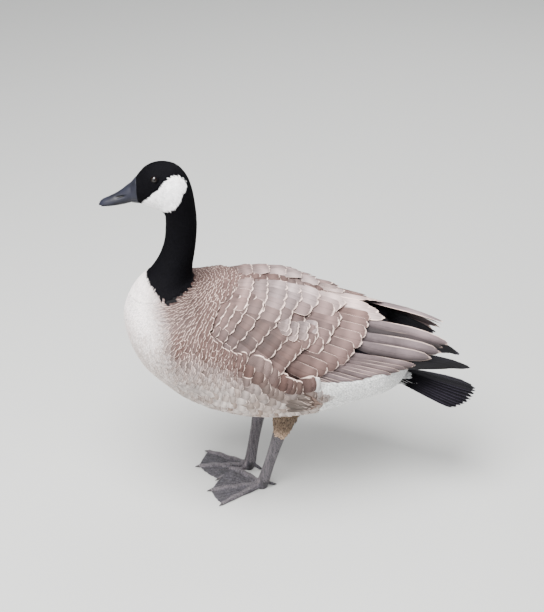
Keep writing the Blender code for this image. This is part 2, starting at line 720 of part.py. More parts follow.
def hallux_stations(side_name):
    """The small hind toe, from behind the tarsus's foot down to the floor."""
    base = FOOT_BASE[side_name]
    y = SIDES[side_name] * base[1]
    inward = -SIDES[side_name] * 0.3
    return [(base[0] + 2.0 + HALLUX_LENGTH * s, y + inward * HALLUX_LENGTH * s, 11.0 - 10.6 * s,
             3.6 - 1.2 * s, 3.4 - 1.0 * s) for s in (0.0, 0.4, 0.8)]


def make_foot(side_name, parent):
    """Three webbed toes and the hind toe in one skin, and their claws."""
    side = SIDES[side_name]
    base = FOOT_BASE[side_name]
    _, low = leg_line(side_name)
    top, _ = leg_line(side_name)
    run = (top - low) / np.linalg.norm(top - low)
    joint = [
        (*(low + run * 22.0), 8.6, 6.8),
        (*(low + run * 8.0), 8.8, 7.4),
        (base[0] - 1.0, side * base[1], 6.2, 9.2, 8.4),
        (base[0] - 2.0, side * base[1], -1.0, 7.6, 7.4),
    ]
    foot = limb(f"foot_{side_name}", joint, (0.0, 3.0))
    pieces = helper_collection("foot_pieces")
    for toe in TOES[side_name]:
        stations = toe_stations(side_name, toe)
        limb_flat(stations, pieces)
    hind = hallux_stations(side_name)
    limb_flat(hind, pieces)
    web(side_name, "inner", "middle", pieces)
    web(side_name, "middle", "outer", pieces)
    fuse(foot, pieces)
    cut(foot, floor_cutter())
    cut(foot, box_cutter((low[0] + 4.0, low[1], TARSUS_FOOT_Z + SQUARE_CUT), SQUARE_CUT))
    finish(foot, parent, "foot_skin")
    for toe, (heading, length, _, _) in TOES[side_name].items():
        end = 1.0 - CLAW_LENGTH / length
        point, radius = toe_point(side_name, toe, end)
        tip, _ = toe_point(side_name, toe, end - 0.02)
        way = math.degrees(math.atan2(point[1] - tip[1], point[0] - tip[0]))
        claw(f"claw_{side_name}_{toe}", point, way, radius * 0.85, CLAW_LENGTH, parent)
    point, behind = np.array(hind[-1][:3]), np.array(hind[-2][:3])
    way = math.degrees(math.atan2(point[1] - behind[1], point[0] - behind[0]))
    claw(f"claw_{side_name}_hind", point, way, 2.0, 5.0, parent)


def limb_flat(stations, collection):
    """A toe: rings square to its run in plan, and upright."""
    rings = []
    for t in np.linspace(0.0, len(stations) - 1.0, len(stations)):
        x, y, z, tall, broad = spline(stations, t)
        ahead = spline(stations, min(t + 0.1, len(stations) - 1.0))
        behind = spline(stations, max(t - 0.1, 0.0))
        way = math.atan2(ahead[1] - behind[1], ahead[0] - behind[0])
        rings.append(oval((x, y, z), (0.0, 0.0, tall),
                          (-math.sin(way) * broad, math.cos(way) * broad, 0.0), 8))
    return loft("toe", rings, collection)


def bill_ring(x, flat_z, round_z, width):
    """A half-round section, flat along the gape and round on its other side."""
    points = []
    for k in range(BILL_ARC + 1):
        a = math.pi * k / BILL_ARC
        points.append((x, width * math.cos(a), flat_z + (round_z - flat_z) * math.sin(a) ** 0.85))
    return points


def make_bill(parent):
    """The upper bill with its nostrils, and the lower bill under the gape line."""
    steps = np.linspace(0.0, len(BILL) - 1.0, 2 * len(BILL) - 1)
    upper_rings, lower_rings = [], []
    for t in steps:
        x, top, gape, bottom, width = spline(BILL, t)
        upper_rings.append(bill_ring(x, gape + GAP / 2.0, top, width))
        if x > BILL_TIP_X + 4.0:
            lower_rings.append(bill_ring(x, gape - GAP / 2.0 - 0.1, bottom, width * 0.86))
    upper = loft("upper_bill", upper_rings)
    x, z, long, tall = NOSTRIL
    for side in SIDES.values():
        rings = []
        for share in (-1.0, -0.6, 0.0, 0.6, 1.0):
            r = tall * max(0.25, math.sqrt(1.0 - share * share))
            centre = (x + long * share, side * 9.5, z + 0.28 * long * share)
            rings.append(oval(centre, (0.0, 0.0, r), (0.0, 4.0, 0.0), 8))
        cut(upper, loft("nostril_cutter", rings))
    finish(upper, parent, "bill_horn")
    finish(loft("lower_bill", lower_rings), parent, "bill_horn")


def ball(name, centre, radius, collection=None):
    """A round ball of quads between two poles."""
    mesh = bpy.data.meshes.new(name)
    shape = bmesh.new()
    bmesh.ops.create_uvsphere(shape, u_segments=12, v_segments=8, radius=radius * METRES)
    bmesh.ops.translate(shape, verts=shape.verts, vec=[c * METRES for c in centre])
    shape.to_mesh(mesh)
    shape.free()
    obj = bpy.data.objects.new(name, mesh)
    (collection or bpy.context.scene.collection).objects.link(obj)
    return obj


def lid_ring(centre, collection):
    """The rim of the eyelids round an eye."""
    rings = 12
    outer_radius = EYE_RADIUS + 0.6
    points, faces = [], []
    sides = 5
    for k in range(rings):
        a = 2.0 * math.pi * k / rings
        out = np.array([math.cos(a) * 1.08, 0.0, math.sin(a) * 0.9])
        middle = np.array(centre) + out * outer_radius
        middle[1] += math.copysign(1.0, centre[1]) * (0.4 + 0.3 * math.cos(a))
        for j in range(sides):
            b = 2.0 * math.pi * j / sides
            points.append(middle + LID_RADIUS * (math.cos(b) * out + math.sin(b) * np.array([0.0, 1.0, 0.0])))
    for k in range(rings):
        for j in range(sides):
            a, b = k * sides + j, k * sides + (j + 1) % sides
            c, d = (a + sides) % (rings * sides), (b + sides) % (rings * sides)
            faces.append((a, b, d))
            faces.append((a, d, c))
    return mesh_object("lid", points, faces, collection)


def make_head(parent):
    """The head with its lids, and the eyes in their sockets."""
    head = body_piece("head", HEAD_RINGS, 0.76, sides=HEAD_SIDES)
    lids = helper_collection("lids")
    for side in SIDES.values():
        lid_ring((EYE_CENTRE[0], side * EYE_CENTRE[1], EYE_CENTRE[2]), lids)
    fuse(head, lids)
    for side_name, side in SIDES.items():
        centre = (EYE_CENTRE[0], side * (EYE_CENTRE[1] - 3.0), EYE_CENTRE[2])
        cut(head, ball("socket_cutter", centre, EYE_RADIUS + GAP))
        finish(ball(f"eye_{side_name}", centre, EYE_RADIUS), parent, "eye_gloss")
    return finish(head, parent, "black_feathers")


def main():
    clear_scene()
    goose = bpy.data.objects.new("canada_goose", None)
    bpy.context.scene.collection.objects.link(goose)
    make_head(goose)
    make_bill(goose)
    finish(body_piece("neck", NECK_RINGS, 0.7, sides=HEAD_SIDES), goose, "black_feathers")
    finish(body_piece("torso", TORSO_RINGS, TORSO_STEP), goose, "breast_feathers")
    make_tail(goose)
    for side_name in SIDES:
        make_wing(side_name, goose)
        make_leg(side_name, goose)
        make_foot(side_name, goose)


main()
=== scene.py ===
"""A Canada goose standing still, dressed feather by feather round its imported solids.

The bill points along -X, the bird's left side faces -Y and the soles stand on z = 0.
Shapes are worked out in millimetres; the meshes are in metres.
"""

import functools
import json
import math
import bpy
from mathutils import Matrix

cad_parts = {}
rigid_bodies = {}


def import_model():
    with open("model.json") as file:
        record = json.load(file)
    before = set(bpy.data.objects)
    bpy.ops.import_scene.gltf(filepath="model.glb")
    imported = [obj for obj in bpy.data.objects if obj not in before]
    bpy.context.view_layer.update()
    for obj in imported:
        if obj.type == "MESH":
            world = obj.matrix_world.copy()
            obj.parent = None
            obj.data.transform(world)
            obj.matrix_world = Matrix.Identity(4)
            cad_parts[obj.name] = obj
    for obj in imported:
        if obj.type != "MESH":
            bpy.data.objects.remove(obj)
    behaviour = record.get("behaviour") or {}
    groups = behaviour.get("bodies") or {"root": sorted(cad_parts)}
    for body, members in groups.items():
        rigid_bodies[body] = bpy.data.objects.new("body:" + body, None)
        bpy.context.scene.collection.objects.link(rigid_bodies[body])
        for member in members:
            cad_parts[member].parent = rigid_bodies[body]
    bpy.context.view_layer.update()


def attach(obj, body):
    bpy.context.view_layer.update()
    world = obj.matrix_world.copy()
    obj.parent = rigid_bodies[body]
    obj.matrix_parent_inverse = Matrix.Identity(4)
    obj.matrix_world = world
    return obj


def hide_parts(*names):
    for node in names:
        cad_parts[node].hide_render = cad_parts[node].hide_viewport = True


bl_info = {
    "name": "Canada Goose Model",
    "version": (1, 0, 0),
    "blender": (4, 5, 0),
    "location": "View3D > Sidebar > Goose",
    "description": "Builds a standing Canada goose, feather by feather, round its packed solids",
    "category": "Add Mesh",
}

import bmesh
import bpy
import numpy as np
from mathutils import Vector

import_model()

METRES = 0.001
SIDES = {"left": -1.0, "right": 1.0}

# Rows and columns of the surfaces on which the feathers are laid
BODY_GRID = (400, 288)
WING_GRID = (243, 145)
TAIL_GRID = (81, 81)

# Seeds of the random draws, and of the soft noises
BODY_SEED, TAIL_SEED = 11, 51
WING_SEEDS = {"left": 31, "right": 32}
THIGH_SEEDS = {"left": 61, "right": 62}
PATCH_DRIFT, TONE_DRIFT, BAR_DRIFT, LIE_DRIFT = 3, 7, 13, 5
WING_TONE_DRIFT, WING_WARMTH_DRIFT, FOLD_DRIFT, LEG_DRIFT = 37, 38, 71, 72

# Size of one feather's patch on the map for baking, and the map's margin
BAKE_PATCH, BAKE_MARGIN = 0.003, 0.01

# Rings of the head, neck and torso: dorsal x and z, ventral x and z, half width,
# and how full the upper and the lower half are (2 is an ellipse, less is more pointed)
BODY_RINGS = (
    (-241, 540, -241, 507.5, 12.5, 2, 2),
    (-231, 552, -230, 506.5, 17, 2, 2),
    (-219, 565, -221, 504.5, 21.5, 2, 2),
    (-204, 571.5, -212, 501, 24.5, 2, 2.1),
    (-188, 572, -203.5, 497.5, 26, 2, 2.1),
    (-173, 566.5, -196.5, 493.5, 26.5, 2, 2.1),
    (-160, 552, -192.5, 488, 26, 2, 2.1),
    (-152, 531, -191.5, 478, 24, 2, 2),
    (-147.5, 503, -192, 465, 22, 2, 2),
    (-145.5, 474, -193.5, 448, 21.5, 2, 2),
    (-147, 447, -198, 430, 22.5, 2, 2),
    (-150, 423, -206, 411, 25.5, 2, 2),
    (-153.5, 402, -220, 389.5, 31, 1.9, 2),
    (-154, 386, -238, 372, 41, 1.8, 2),
    (-150, 376.5, -252, 350, 56, 1.7, 1.95),
    (-144, 372.5, -260.5, 326, 72, 1.7, 1.9),
    (-136, 372.5, -260.5, 300, 85, 1.75, 1.85),
    (-126, 374.5, -252, 267, 96, 1.8, 1.8),
    (-114, 376.5, -236, 234, 105, 1.9, 1.75),
    (-100, 378, -212, 208.5, 112, 2, 1.75),
    (-84, 378, -180, 186, 118, 2, 1.8),
    (-64, 378.5, -144, 168, 123, 2, 1.85),
    (-42, 378, -104, 156, 126, 2, 1.9),
    (-16, 375, -60, 150, 126.5, 2, 1.95),
    (12, 366.5, -16, 149.5, 124, 2, 1.95),
    (40, 355, 26, 154.5, 117.5, 2, 1.95),
    (66, 343.5, 60, 163.5, 109, 2, 2),
    (92, 331, 90, 172.5, 99, 2, 2),
    (116, 317, 116, 179, 88, 2, 2),
    (138, 302, 139, 184, 76, 2, 2),
    (156, 286, 157, 189, 58, 2, 2),
    (169, 269, 168, 196, 41, 2, 2),
    (178, 252, 176, 204, 27, 2, 2),
    (184, 238, 182, 213, 14, 2, 2),
)
LAST_RING = len(BODY_RINGS) - 1.0
NECK_START, TORSO_START = 7.6, 13.2

# The folded wings lie on this envelope: x, half width, centre z, half height
ENVELOPE = (
    (-190, 80, 272, 72),
    (-150, 105, 271, 93),
    (-110, 120, 269, 106.5),
    (-60, 126, 266, 113.5),
    (-10, 125, 262, 113),
    (40, 116, 258, 99),
    (90, 100, 256, 83),
    (140, 78, 254, 70),
    (190, 54, 250, 58),
    (240, 33, 240, 43),
    (295, 18, 222, 27),
)
WING_BED = 13.0

# Outline of the folded wing on the envelope, inside which the body grows no feathers: x, angle
WING_FIELD = (
    (-112, 20), (-84, 9), (-50, 5), (0, 5), (60, 12), (115, 24), (165, 42),
    (205, 56), (205, 84), (160, 88), (130, 92), (100, 95), (60, 94),
    (30, 88), (0, 82), (-40, 80), (-80, 71), (-110, 62), (-138, 52), (-126, 36),
)

# Lower edge of the black neck: x along the side, z
SOCK_EDGE = (
    (-260, 425), (-230, 393), (-222, 388.5), (-214, 386), (-205, 378), (-197, 371),
    (-189, 366.5), (-179, 369), (-167, 375), (-157, 379), (-150, 386), (-142, 400),
    (-100, 450),
)
# Outline of the white cheek from the side: x, z
CHEEK = (
    (-228, 512), (-222, 520), (-215, 528), (-204, 539), (-197, 548), (-189, 556),
    (-182, 560.5), (-172, 559.5), (-163, 552), (-159, 543), (-161, 537), (-166, 534),
    (-168, 525), (-173, 517), (-180, 510), (-188, 505), (-196, 500), (-206, 494),
    (-232, 494),
)

EYE_CENTRE = (-205.0, 20.5, 554.0)
EYE_RADIUS = 5.8
BROW_HEIGHT, BROW_REACH = 2.5, 12.0

# Bill: x, top z, gape z, bottom z, half width
BILL = (
    (-241.4, 539.5, 515, 507.8, 12.4),
    (-248, 534.5, 513, 506.2, 12),
    (-257, 527, 510.8, 504.6, 11.4),
    (-266, 521, 508.6, 503, 10.8),
    (-275, 516.2, 506.6, 501.8, 10),
    (-283, 512.5, 504.8, 501.2, 8.2),
    (-288, 508.5, 503.6, 501, 5.8),
    (-291, 504.6, 502.4, 501.4, 2.6),
)
# Nostril: x, z, half length, half height, slope
NOSTRIL = (-257.5, 519.6, 7.0, 1.7, 0.30)

# Legs: x, y, z, fore half depth, side half depth
THIGHS = {
    "left": (
        (-6, 44, 205, 30, 25),
        (-8, 42, 180, 27, 23),
        (-11, 39, 155, 21, 19),
        (-14, 36, 134, 15.5, 14),
        (-17, 34, 118, 11.5, 10.5),
        (-19, 33, 110, 9, 8),
        (-20.5, 32.5, 104, 9, 8),
    ),
    "right": (
        (-42, 44, 205, 30, 25),
        (-44, 42, 180, 27, 23),
        (-47, 39, 155, 21, 19),
        (-49, 36, 134, 15.5, 14),
        (-51, 34, 118, 11.5, 10.5),
        (-52, 33, 110, 9, 8),
        (-53, 32.8, 104, 9, 8),
    ),
}
FOOT_BASE = {"left": (-47.0, 25.0), "right": (-69.0, 28.0)}
TARSUS_SHAPE = (
    # share of the way down, fore half depth, side half depth
    (0, 8.6, 7.6),
    (0.07, 10.2, 8.8),
    (0.18, 9.9, 8),
    (0.38, 8.7, 6.5),
    (0.62, 8.2, 6.1),
    (0.85, 8.8, 6.8),
    (1, 9.8, 7.8),
)
TARSUS_FOOT_Z = 17.0
TOE_RADIUS = 5.0
CLAW_LENGTH = 9.0
CLAW_SHEATH = 2.6
WEB_NOTCH = -0.03
HALLUX_LENGTH = 20.0
# Toes: heading in degrees from +X, length with the claw, lift of the middle, lift of the tip
TOES = {
    "left": {
        "inner": (143, 74, 8.6, 6.2),
        "middle": (186, 92, 0, 0),
        "outer": (215, 88, 0, 0),
    },
    "right": {
        "inner": (211, 68, 0, 0),
        "middle": (176.5, 91, 0, 0),
        "outer": (146, 90, 0, 0),
    },
}
TOE_SLIMNESS = {("right", "inner"): 0.72}

# Tail fan
TAIL_ROOT = (168.0, 213.0)
TAIL_SLOPE = -0.345
TAIL_ARCH = 6.0


# Settings

COLOUR = {"subtype": "COLOR", "size": 3, "min": 0.0, "max": 1.0}
LENGTH = {"subtype": "DISTANCE", "unit": "LENGTH"}


class GoosePlumageSettings(bpy.types.PropertyGroup):
    """Colours of the plumage."""

    black: bpy.props.FloatVectorProperty(
        name="Black", description="Head and neck", default=(0.0012, 0.0011, 0.0018), **COLOUR)
    cheek: bpy.props.FloatVectorProperty(
        name="Cheek", description="White patch behind the eye and under the chin", default=(0.90, 0.88, 0.88),
        **COLOUR)
    breast: bpy.props.FloatVectorProperty(
        name="Breast", description="Pale front of the breast", default=(0.84, 0.785, 0.775), **COLOUR)
    belly: bpy.props.FloatVectorProperty(
        name="Belly", description="Grey buff of the lower breast and belly",
        default=(0.52, 0.445, 0.40), **COLOUR)
    brown: bpy.props.FloatVectorProperty(
        name="Brown", description="Mantle, flanks and wing coverts",
        default=(0.086, 0.0515, 0.0455), **COLOUR)
    pale: bpy.props.FloatVectorProperty(
        name="Pale scapulars", description="Pale feathers on the back beside the midline",
        default=(0.40, 0.312, 0.30), **COLOUR)
    buff: bpy.props.FloatVectorProperty(
        name="Buff", description="Pale edges of the brown feathers", default=(0.74, 0.555, 0.485), **COLOUR)
    flight: bpy.props.FloatVectorProperty(
        name="Flight feathers", description="Grey brown of the tertials and secondaries",
        default=(0.24, 0.178, 0.180), **COLOUR)
    vent: bpy.props.FloatVectorProperty(
        name="Vent", description="White under and round the tail", default=(0.84, 0.84, 0.83), **COLOUR)
    tail: bpy.props.FloatVectorProperty(
        name="Tail", description="Tail feathers and wing tips", default=(0.0026, 0.0022, 0.0034), **COLOUR)
    thigh: bpy.props.FloatVectorProperty(
        name="Thigh", description="Short feathers at the top of the legs",
        default=(0.235, 0.165, 0.115), **COLOUR)


class GooseShapeSettings(bpy.types.PropertyGroup):
    """Sizes of the skin and the coat."""

    coat_depth: bpy.props.FloatProperty(
        name="Coat depth", description="How far the skin lies under the torso's feathers",
        default=0.004, min=0.001, max=0.02, **LENGTH)
    feather_size: bpy.props.FloatProperty(
        name="Feather size", description="Spacing of the body's feathers against the photographed bird",
        default=1.0, min=0.5, max=2.0, subtype="FACTOR")
    leg_detail: bpy.props.FloatProperty(
        name="Leg detail", description="Size of the facets of the feet's skin",
        default=0.0009, min=0.0005, max=0.003, **LENGTH)
    bill_detail: bpy.props.FloatProperty(
        name="Bill detail", description="Size of the facets of the upper bill",
        default=0.0004, min=0.0003, max=0.002, **LENGTH)
    scale_height: bpy.props.FloatProperty(
        name="Scale height", description="How far the scales stand out of the legs",
        default=0.0006, min=0.0001, max=0.002, **LENGTH)


class GooseHornSettings(bpy.types.PropertyGroup):
    """Colours of the bill, eyes, legs and claws."""

    bill: bpy.props.FloatVectorProperty(
        name="Bill", description="Slate of the bill", default=(0.0048, 0.0050, 0.0092), **COLOUR)
    iris: bpy.props.FloatVectorProperty(
        name="Iris", description="Dark brown of the eye", default=(0.0075, 0.0041, 0.0026), **COLOUR)
    leg: bpy.props.FloatVectorProperty(
        name="Leg", description="Slate grey of legs and webs", default=(0.098, 0.087, 0.096), **COLOUR)
    claw: bpy.props.FloatVectorProperty(
        name="Claw", description="Horn of the claws", default=(0.030, 0.026, 0.028), **COLOUR)


class GooseStageSettings(bpy.types.PropertyGroup):
    """The floor, the lights and the camera."""

    floor: bpy.props.FloatVectorProperty(
        name="Floor", description="Pale floor", default=(0.46, 0.46, 0.447), **COLOUR)
    key_power: bpy.props.FloatProperty(
        name="Overhead light", description="Power of the large light above", default=255.0, min=0.0,
        unit="POWER")
    camera_distance: bpy.props.FloatProperty(
        name="Camera distance", description="How far the camera stands from the bird's middle",
        default=2.2, min=0.5, max=20.0, **LENGTH)
    camera_height: bpy.props.FloatProperty(
        name="Camera height", description="Height of the camera over the floor", default=1.6, min=0.1,
        max=10.0, **LENGTH)
    camera_pitch: bpy.props.FloatProperty(
        name="Camera pitch", description="How far the camera looks down", default=math.radians(30.05),
        min=0.0, max=math.pi / 2.0, subtype="ANGLE", unit="ROTATION")


# Curves and surfaces

def curve(rows, t):
    """A smooth curve through the rows, at every t, which is 0 at the first row and 1 more for each next."""
    rows = np.asarray(rows, float)
    t = np.atleast_1d(np.asarray(t, float))
    last = len(rows) - 1
    i = np.clip(t.astype(int), 0, last - 1)
    u = (t - i)[:, None]
    p1, p2 = rows[i], rows[i + 1]
    p0 = np.where((i > 0)[:, None], rows[np.maximum(i - 1, 0)], 2 * p1 - p2)
    p3 = np.where((i + 2 <= last)[:, None], rows[np.minimum(i + 2, last)], 2 * p2 - p1)
    return 0.5 * (2 * p1 + (p2 - p0) * u + (2 * p0 - 5 * p1 + 4 * p2 - p3) * u**2
                  + (3 * p1 - p0 - 3 * p2 + p3) * u**3)


def smooth(low, high, value):
    """0 before low and 1 after high, with a soft ramp between; low may be the larger."""
    u = np.clip((np.asarray(value, float) - low) / (high - low), 0.0, 1.0)
    return u * u * (3.0 - 2.0 * u)


def mix(a, b, share):
    share = np.asarray(share, float)[..., None]
    return np.asarray(a, float) * (1.0 - share) + np.asarray(b, float) * share


def unit(vectors):
    return vectors / np.maximum(np.linalg.norm(vectors, axis=-1, keepdims=True), 1e-9)


def dot(a, b):
    return (a * b).sum(-1)


def envelope_section(x):
    """Half width, centre z and half height of the wings' envelope at each x."""
    rows = np.asarray(ENVELOPE)
    x = np.asarray(x, float)
    t = np.interp(x.ravel(), rows[:, 0], np.arange(len(rows)))
    return [c.reshape(x.shape) for c in curve(rows, t)[:, 1:].T]


def envelope_angle(points):
    """Angle from the back's midline, in degrees, and the share of the way out to the envelope."""
    width, middle, tall = envelope_section(points[..., 0])
    side, up = np.abs(points[..., 1]) / width, (points[..., 2] - middle) / tall
    return np.degrees(np.arctan2(side, up)), np.hypot(side, up)


def wing_bed(points):
    """How far the torso's skin is sunk to leave room for a folded wing."""
    angle, _ = envelope_angle(points)
    along = smooth(-172.0, -112.0, points[..., 0]) * (1.0 - 0.6 * smooth(110.0, 180.0, points[..., 0]))
    near_back = 0.45 + 0.55 * smooth(3.0, 16.0, angle)
    return WING_BED * along * (1.0 - smooth(84.0, 104.0, angle)) * near_back


def body_points(t, sides, grow=0.0, bedded=False):
    """Rings of the head, neck and torso at each t, as an array of rings by sides."""
    back_x, back_z, front_x, front_z, width, upper, lower = curve(BODY_RINGS, t).T
    zero = np.zeros_like(back_x)
    back, front = np.stack([back_x, zero, back_z], -1), np.stack([front_x, zero, front_z], -1)
    centre, up = (back + front) / 2.0, (back - front) / 2.0
    grow = np.broadcast_to(grow, back_x.shape)
    up = up * (1.0 + grow / np.linalg.norm(up, axis=-1))[:, None]
    angle = 2.0 * np.pi * np.arange(sides) / sides
    c, s = np.cos(angle)[None], np.sin(angle)[None]
    power = 2.0 / np.where(c > 0.0, upper[:, None], lower[:, None])
    c, s = np.sign(c) * np.abs(c) ** power, np.sign(s) * np.abs(s) ** power
    points = centre[:, None] + c[..., None] * up[:, None]
    points[..., 1] += s * (width + grow)[:, None]
    away = np.linalg.norm((points - np.array(EYE_CENTRE) * (1.0, 0.0, 1.0)) * (1.0, 0.0, 1.15), axis=-1)
    brow = BROW_HEIGHT * np.exp(-(away / BROW_REACH) ** 2) * smooth(4.0, 14.0, np.abs(points[..., 1]))
    points[..., 1] += np.sign(points[..., 1]) * brow
    if bedded:
        points = points + unit(centre[:, None] - points) * wing_bed(points)[..., None]
    return points


class Surface:
    """A sampled surface in millimetres: feathers lie along its first axis, its second runs across them."""

    def __init__(self, points, wrap=False, outward=1.0):
        self.rows, self.columns = points.shape[:2]
        self.wrap = wrap
        along = np.gradient(points, axis=0)
        if wrap:
            across = (np.roll(points, -1, 1) - np.roll(points, 1, 1)) / 2.0
        else:
            across = np.gradient(points, axis=1)
        self.points = points
        self.normals = unit(np.cross(along, across)) * outward
        self.fields = np.concatenate([points, self.normals, along, across], -1)

    def at(self, place):
        """Point, outward normal and the two directions at fractional places (row, column)."""
        r = np.clip(place[..., 0], 0.0, self.rows - 1.001)
        r0 = r.astype(int)
        if self.wrap:
            c = np.mod(place[..., 1], self.columns)
        else:
            c = np.clip(place[..., 1], 0.0, self.columns - 1.001)
        c0 = np.minimum(c.astype(int), self.columns - 1)
        c1 = (c0 + 1) % self.columns
        fr, fc = (r - r0)[..., None], (c - c0)[..., None]
        f = self.fields
        out = ((f[r0, c0] * (1 - fc) + f[r0, c1] * fc) * (1 - fr)
               + (f[r0 + 1, c0] * (1 - fc) + f[r0 + 1, c1] * fc) * fr)
        return out[..., :3], unit(out[..., 3:6]), out[..., 6:9], out[..., 9:]

    def steps(self, place, direction):
        """The move in rows and columns that makes each given 3-D move on the surface."""
        _, _, along, across = self.at(place)
        aa, ab, bb = dot(along, along), dot(along, across), dot(across, across)
        ga, gb = dot(along, direction), dot(across, direction)
        det = np.maximum(aa * bb - ab * ab, 1e-9)
        return np.stack([(bb * ga - ab * gb) / det, (aa * gb - ab * ga) / det], -1)


def eye_frame(side):
    """Centre of an eye, and the directions back along the head, up and out of it."""
    surface = body_surface()
    _, normal, _, _ = surface.at(body_places(surface, [(EYE_CENTRE[0], EYE_CENTRE[2])], side))
    out = normal[0]
    back = unit(np.cross((0.0, 0.0, side), -out))
    return np.array(EYE_CENTRE) * (1.0, side, 1.0), back, side * np.cross(back, out), out


def bill_border(angle):
    """How far back along the head's rings the bare base of the bill reaches, at angles from the crown."""
    angle = np.abs(np.mod(np.asarray(angle, float) + 180.0, 360.0) - 180.0)
    return 0.72 + 0.08 * smooth(0.0, 75.0, angle) + 0.18 * smooth(80.0, 170.0, angle)


def body_surface():
    """The smooth outside of head, neck and torso, over which the feather tips lie."""
    return Surface(body_points(np.linspace(0.0, LAST_RING, BODY_GRID[0]), BODY_GRID[1]), wrap=True)


WING_X = (-190.0, 294.0)
WING_ANGLE = (-12.0, 132.0)


def wing_surface(side):
    x, angle = (np.linspace(*span, count) for span, count in zip((WING_X, WING_ANGLE), WING_GRID))
    width, middle, tall = (v[:, None] for v in envelope_section(x))
    a = np.radians(angle)[None]
    points = np.broadcast_arrays(x[:, None], side * width * np.sin(a), middle + tall * np.cos(a))
    return Surface(np.stack(points, -1), outward=side)


def grid_place(pairs, rows_span, columns_span, grid):
    """Rows and columns of pairs on a grid that runs evenly over two spans."""
    low, high = np.transpose((rows_span, columns_span))
    return (np.asarray(pairs, float) - low) / (high - low) * (np.array(grid) - 1.0)


def wing_place(pairs):
    """Rows and columns of the wing surface for (x, angle) pairs."""
    return grid_place(pairs, WING_X, WING_ANGLE, WING_GRID)


# Feathers

class Vane:
    """The outline of one kind of feather: rows from root to tip, domed above and closed below."""

    def __init__(self, shares, widths, columns, dome=0.07, round_tip=0.06):
        last = len(shares) - 1
        row = np.repeat(np.arange(last + 1), columns)
        self.u = np.tile(np.linspace(-1.0, 1.0, columns), last + 1)
        self.row, self.half = np.array(shares)[row], np.array(widths)[row]
        self.v = self.row - round_tip * self.u**2 * smooth(0.4, 1.0, row / last)
        self.dome = dome * (1.0 - self.u**2) * self.half
        faces = []
        for k in range(last):
            for c in range(columns - 1):
                a, b = k * columns + c, (k + 1) * columns + c
                faces += [(a, a + 1, b + 1), (a, b + 1, b)]
            left, left_next = k * columns, (k + 1) * columns
            right, right_next = left + columns - 1, left_next + columns - 1
            faces += [(left, left_next, right_next), (left, right_next, right)]
        tip = last * columns
        for c in range(1, columns - 1):
            faces += [(0, c + 1, c), (tip, tip + c, tip + c + 1)]
        self.faces = np.array(faces)
        self.uv = np.stack([self.u * 0.5 + 0.5, self.row], -1)


# Fine tufts of head and neck, feathers of the body, and long feathers of wing and tail, each with the
# shares of its length at its rows, their widths, and its columns
TUFT = Vane((0.0, 0.5, 1.0), (0.5, 1.0, 0.16), 3, dome=0.25, round_tip=0.0)
SOFT_FEATHER = Vane((0.0, 0.3, 0.6, 0.85, 1.0), (0.5, 1.0, 1.0, 0.8, 0.36), 3, dome=0.10)
SHAGGY_FEATHER = Vane((0.0, 0.3, 0.65, 1.0), (0.4, 1.0, 0.8, 0.08), 3, dome=0.16, round_tip=0.0)
BODY_FEATHER = Vane(
    (0.0, 0.3, 0.6, 0.8, 0.91, 0.97, 1.0), (0.4, 0.9, 1.0, 0.95, 0.8, 0.58, 0.3), 5,
    dome=0.08, round_tip=0.08)
COVERT = Vane(
    (0.0, 0.25, 0.5, 0.74, 0.88, 0.95, 0.985, 1.0), (0.4, 0.85, 1.0, 1.0, 0.93, 0.8, 0.62, 0.42), 7,
    dome=0.07, round_tip=0.07)
GREAT_COVERT = Vane(
    (0.0, 0.2, 0.45, 0.72, 0.88, 0.95, 0.985, 1.0), (0.4, 0.8, 1.0, 1.0, 0.95, 0.84, 0.66, 0.44), 7,
    dome=0.06, round_tip=0.05)
QUILL = Vane(
    (0.0, 0.12, 0.28, 0.45, 0.62, 0.78, 0.9, 0.97, 1.0), (0.3, 0.62, 0.86, 1.0, 1.0, 0.9, 0.7, 0.44, 0.2), 7,
    dome=0.06, round_tip=0.02)
TAIL_QUILL = Vane(
    (0.0, 0.2, 0.4, 0.6, 0.8, 0.93, 0.985, 1.0), (0.35, 0.6, 0.82, 0.96, 1.0, 0.82, 0.5, 0.2), 7,
    dome=0.05, round_tip=0.015)


class Batch:
    """Feathers of one outline, laid on a surface, with their colours."""

    def __init__(self, vane, points, tint, edge, rim, side_rim, bake, shade=None):
        count, size = points.shape[:2]
        self.points = points.reshape(-1, 3)
        self.faces = (vane.faces[None] + size * np.arange(count)[:, None, None]).reshape(-1, 3)
        self.uv = np.tile(vane.uv, (count, 1))
        self.bake = (bake[:, None] + BAKE_PATCH * (vane.uv[None] - 0.5)).reshape(-1, 2)
        self.tint, self.edge = (
            np.repeat(np.column_stack([colour, np.broadcast_to(width, (count,))]), size, axis=0)
            for colour, width in ((tint, side_rim), (edge, rim)))
        # The shade, where given, is painted shade across each feather, multiplied into both its colours
        if shade is not None:
            for colour in (self.tint, self.edge):
                colour[:, :3] *= np.tile(shade, count)[:, None]


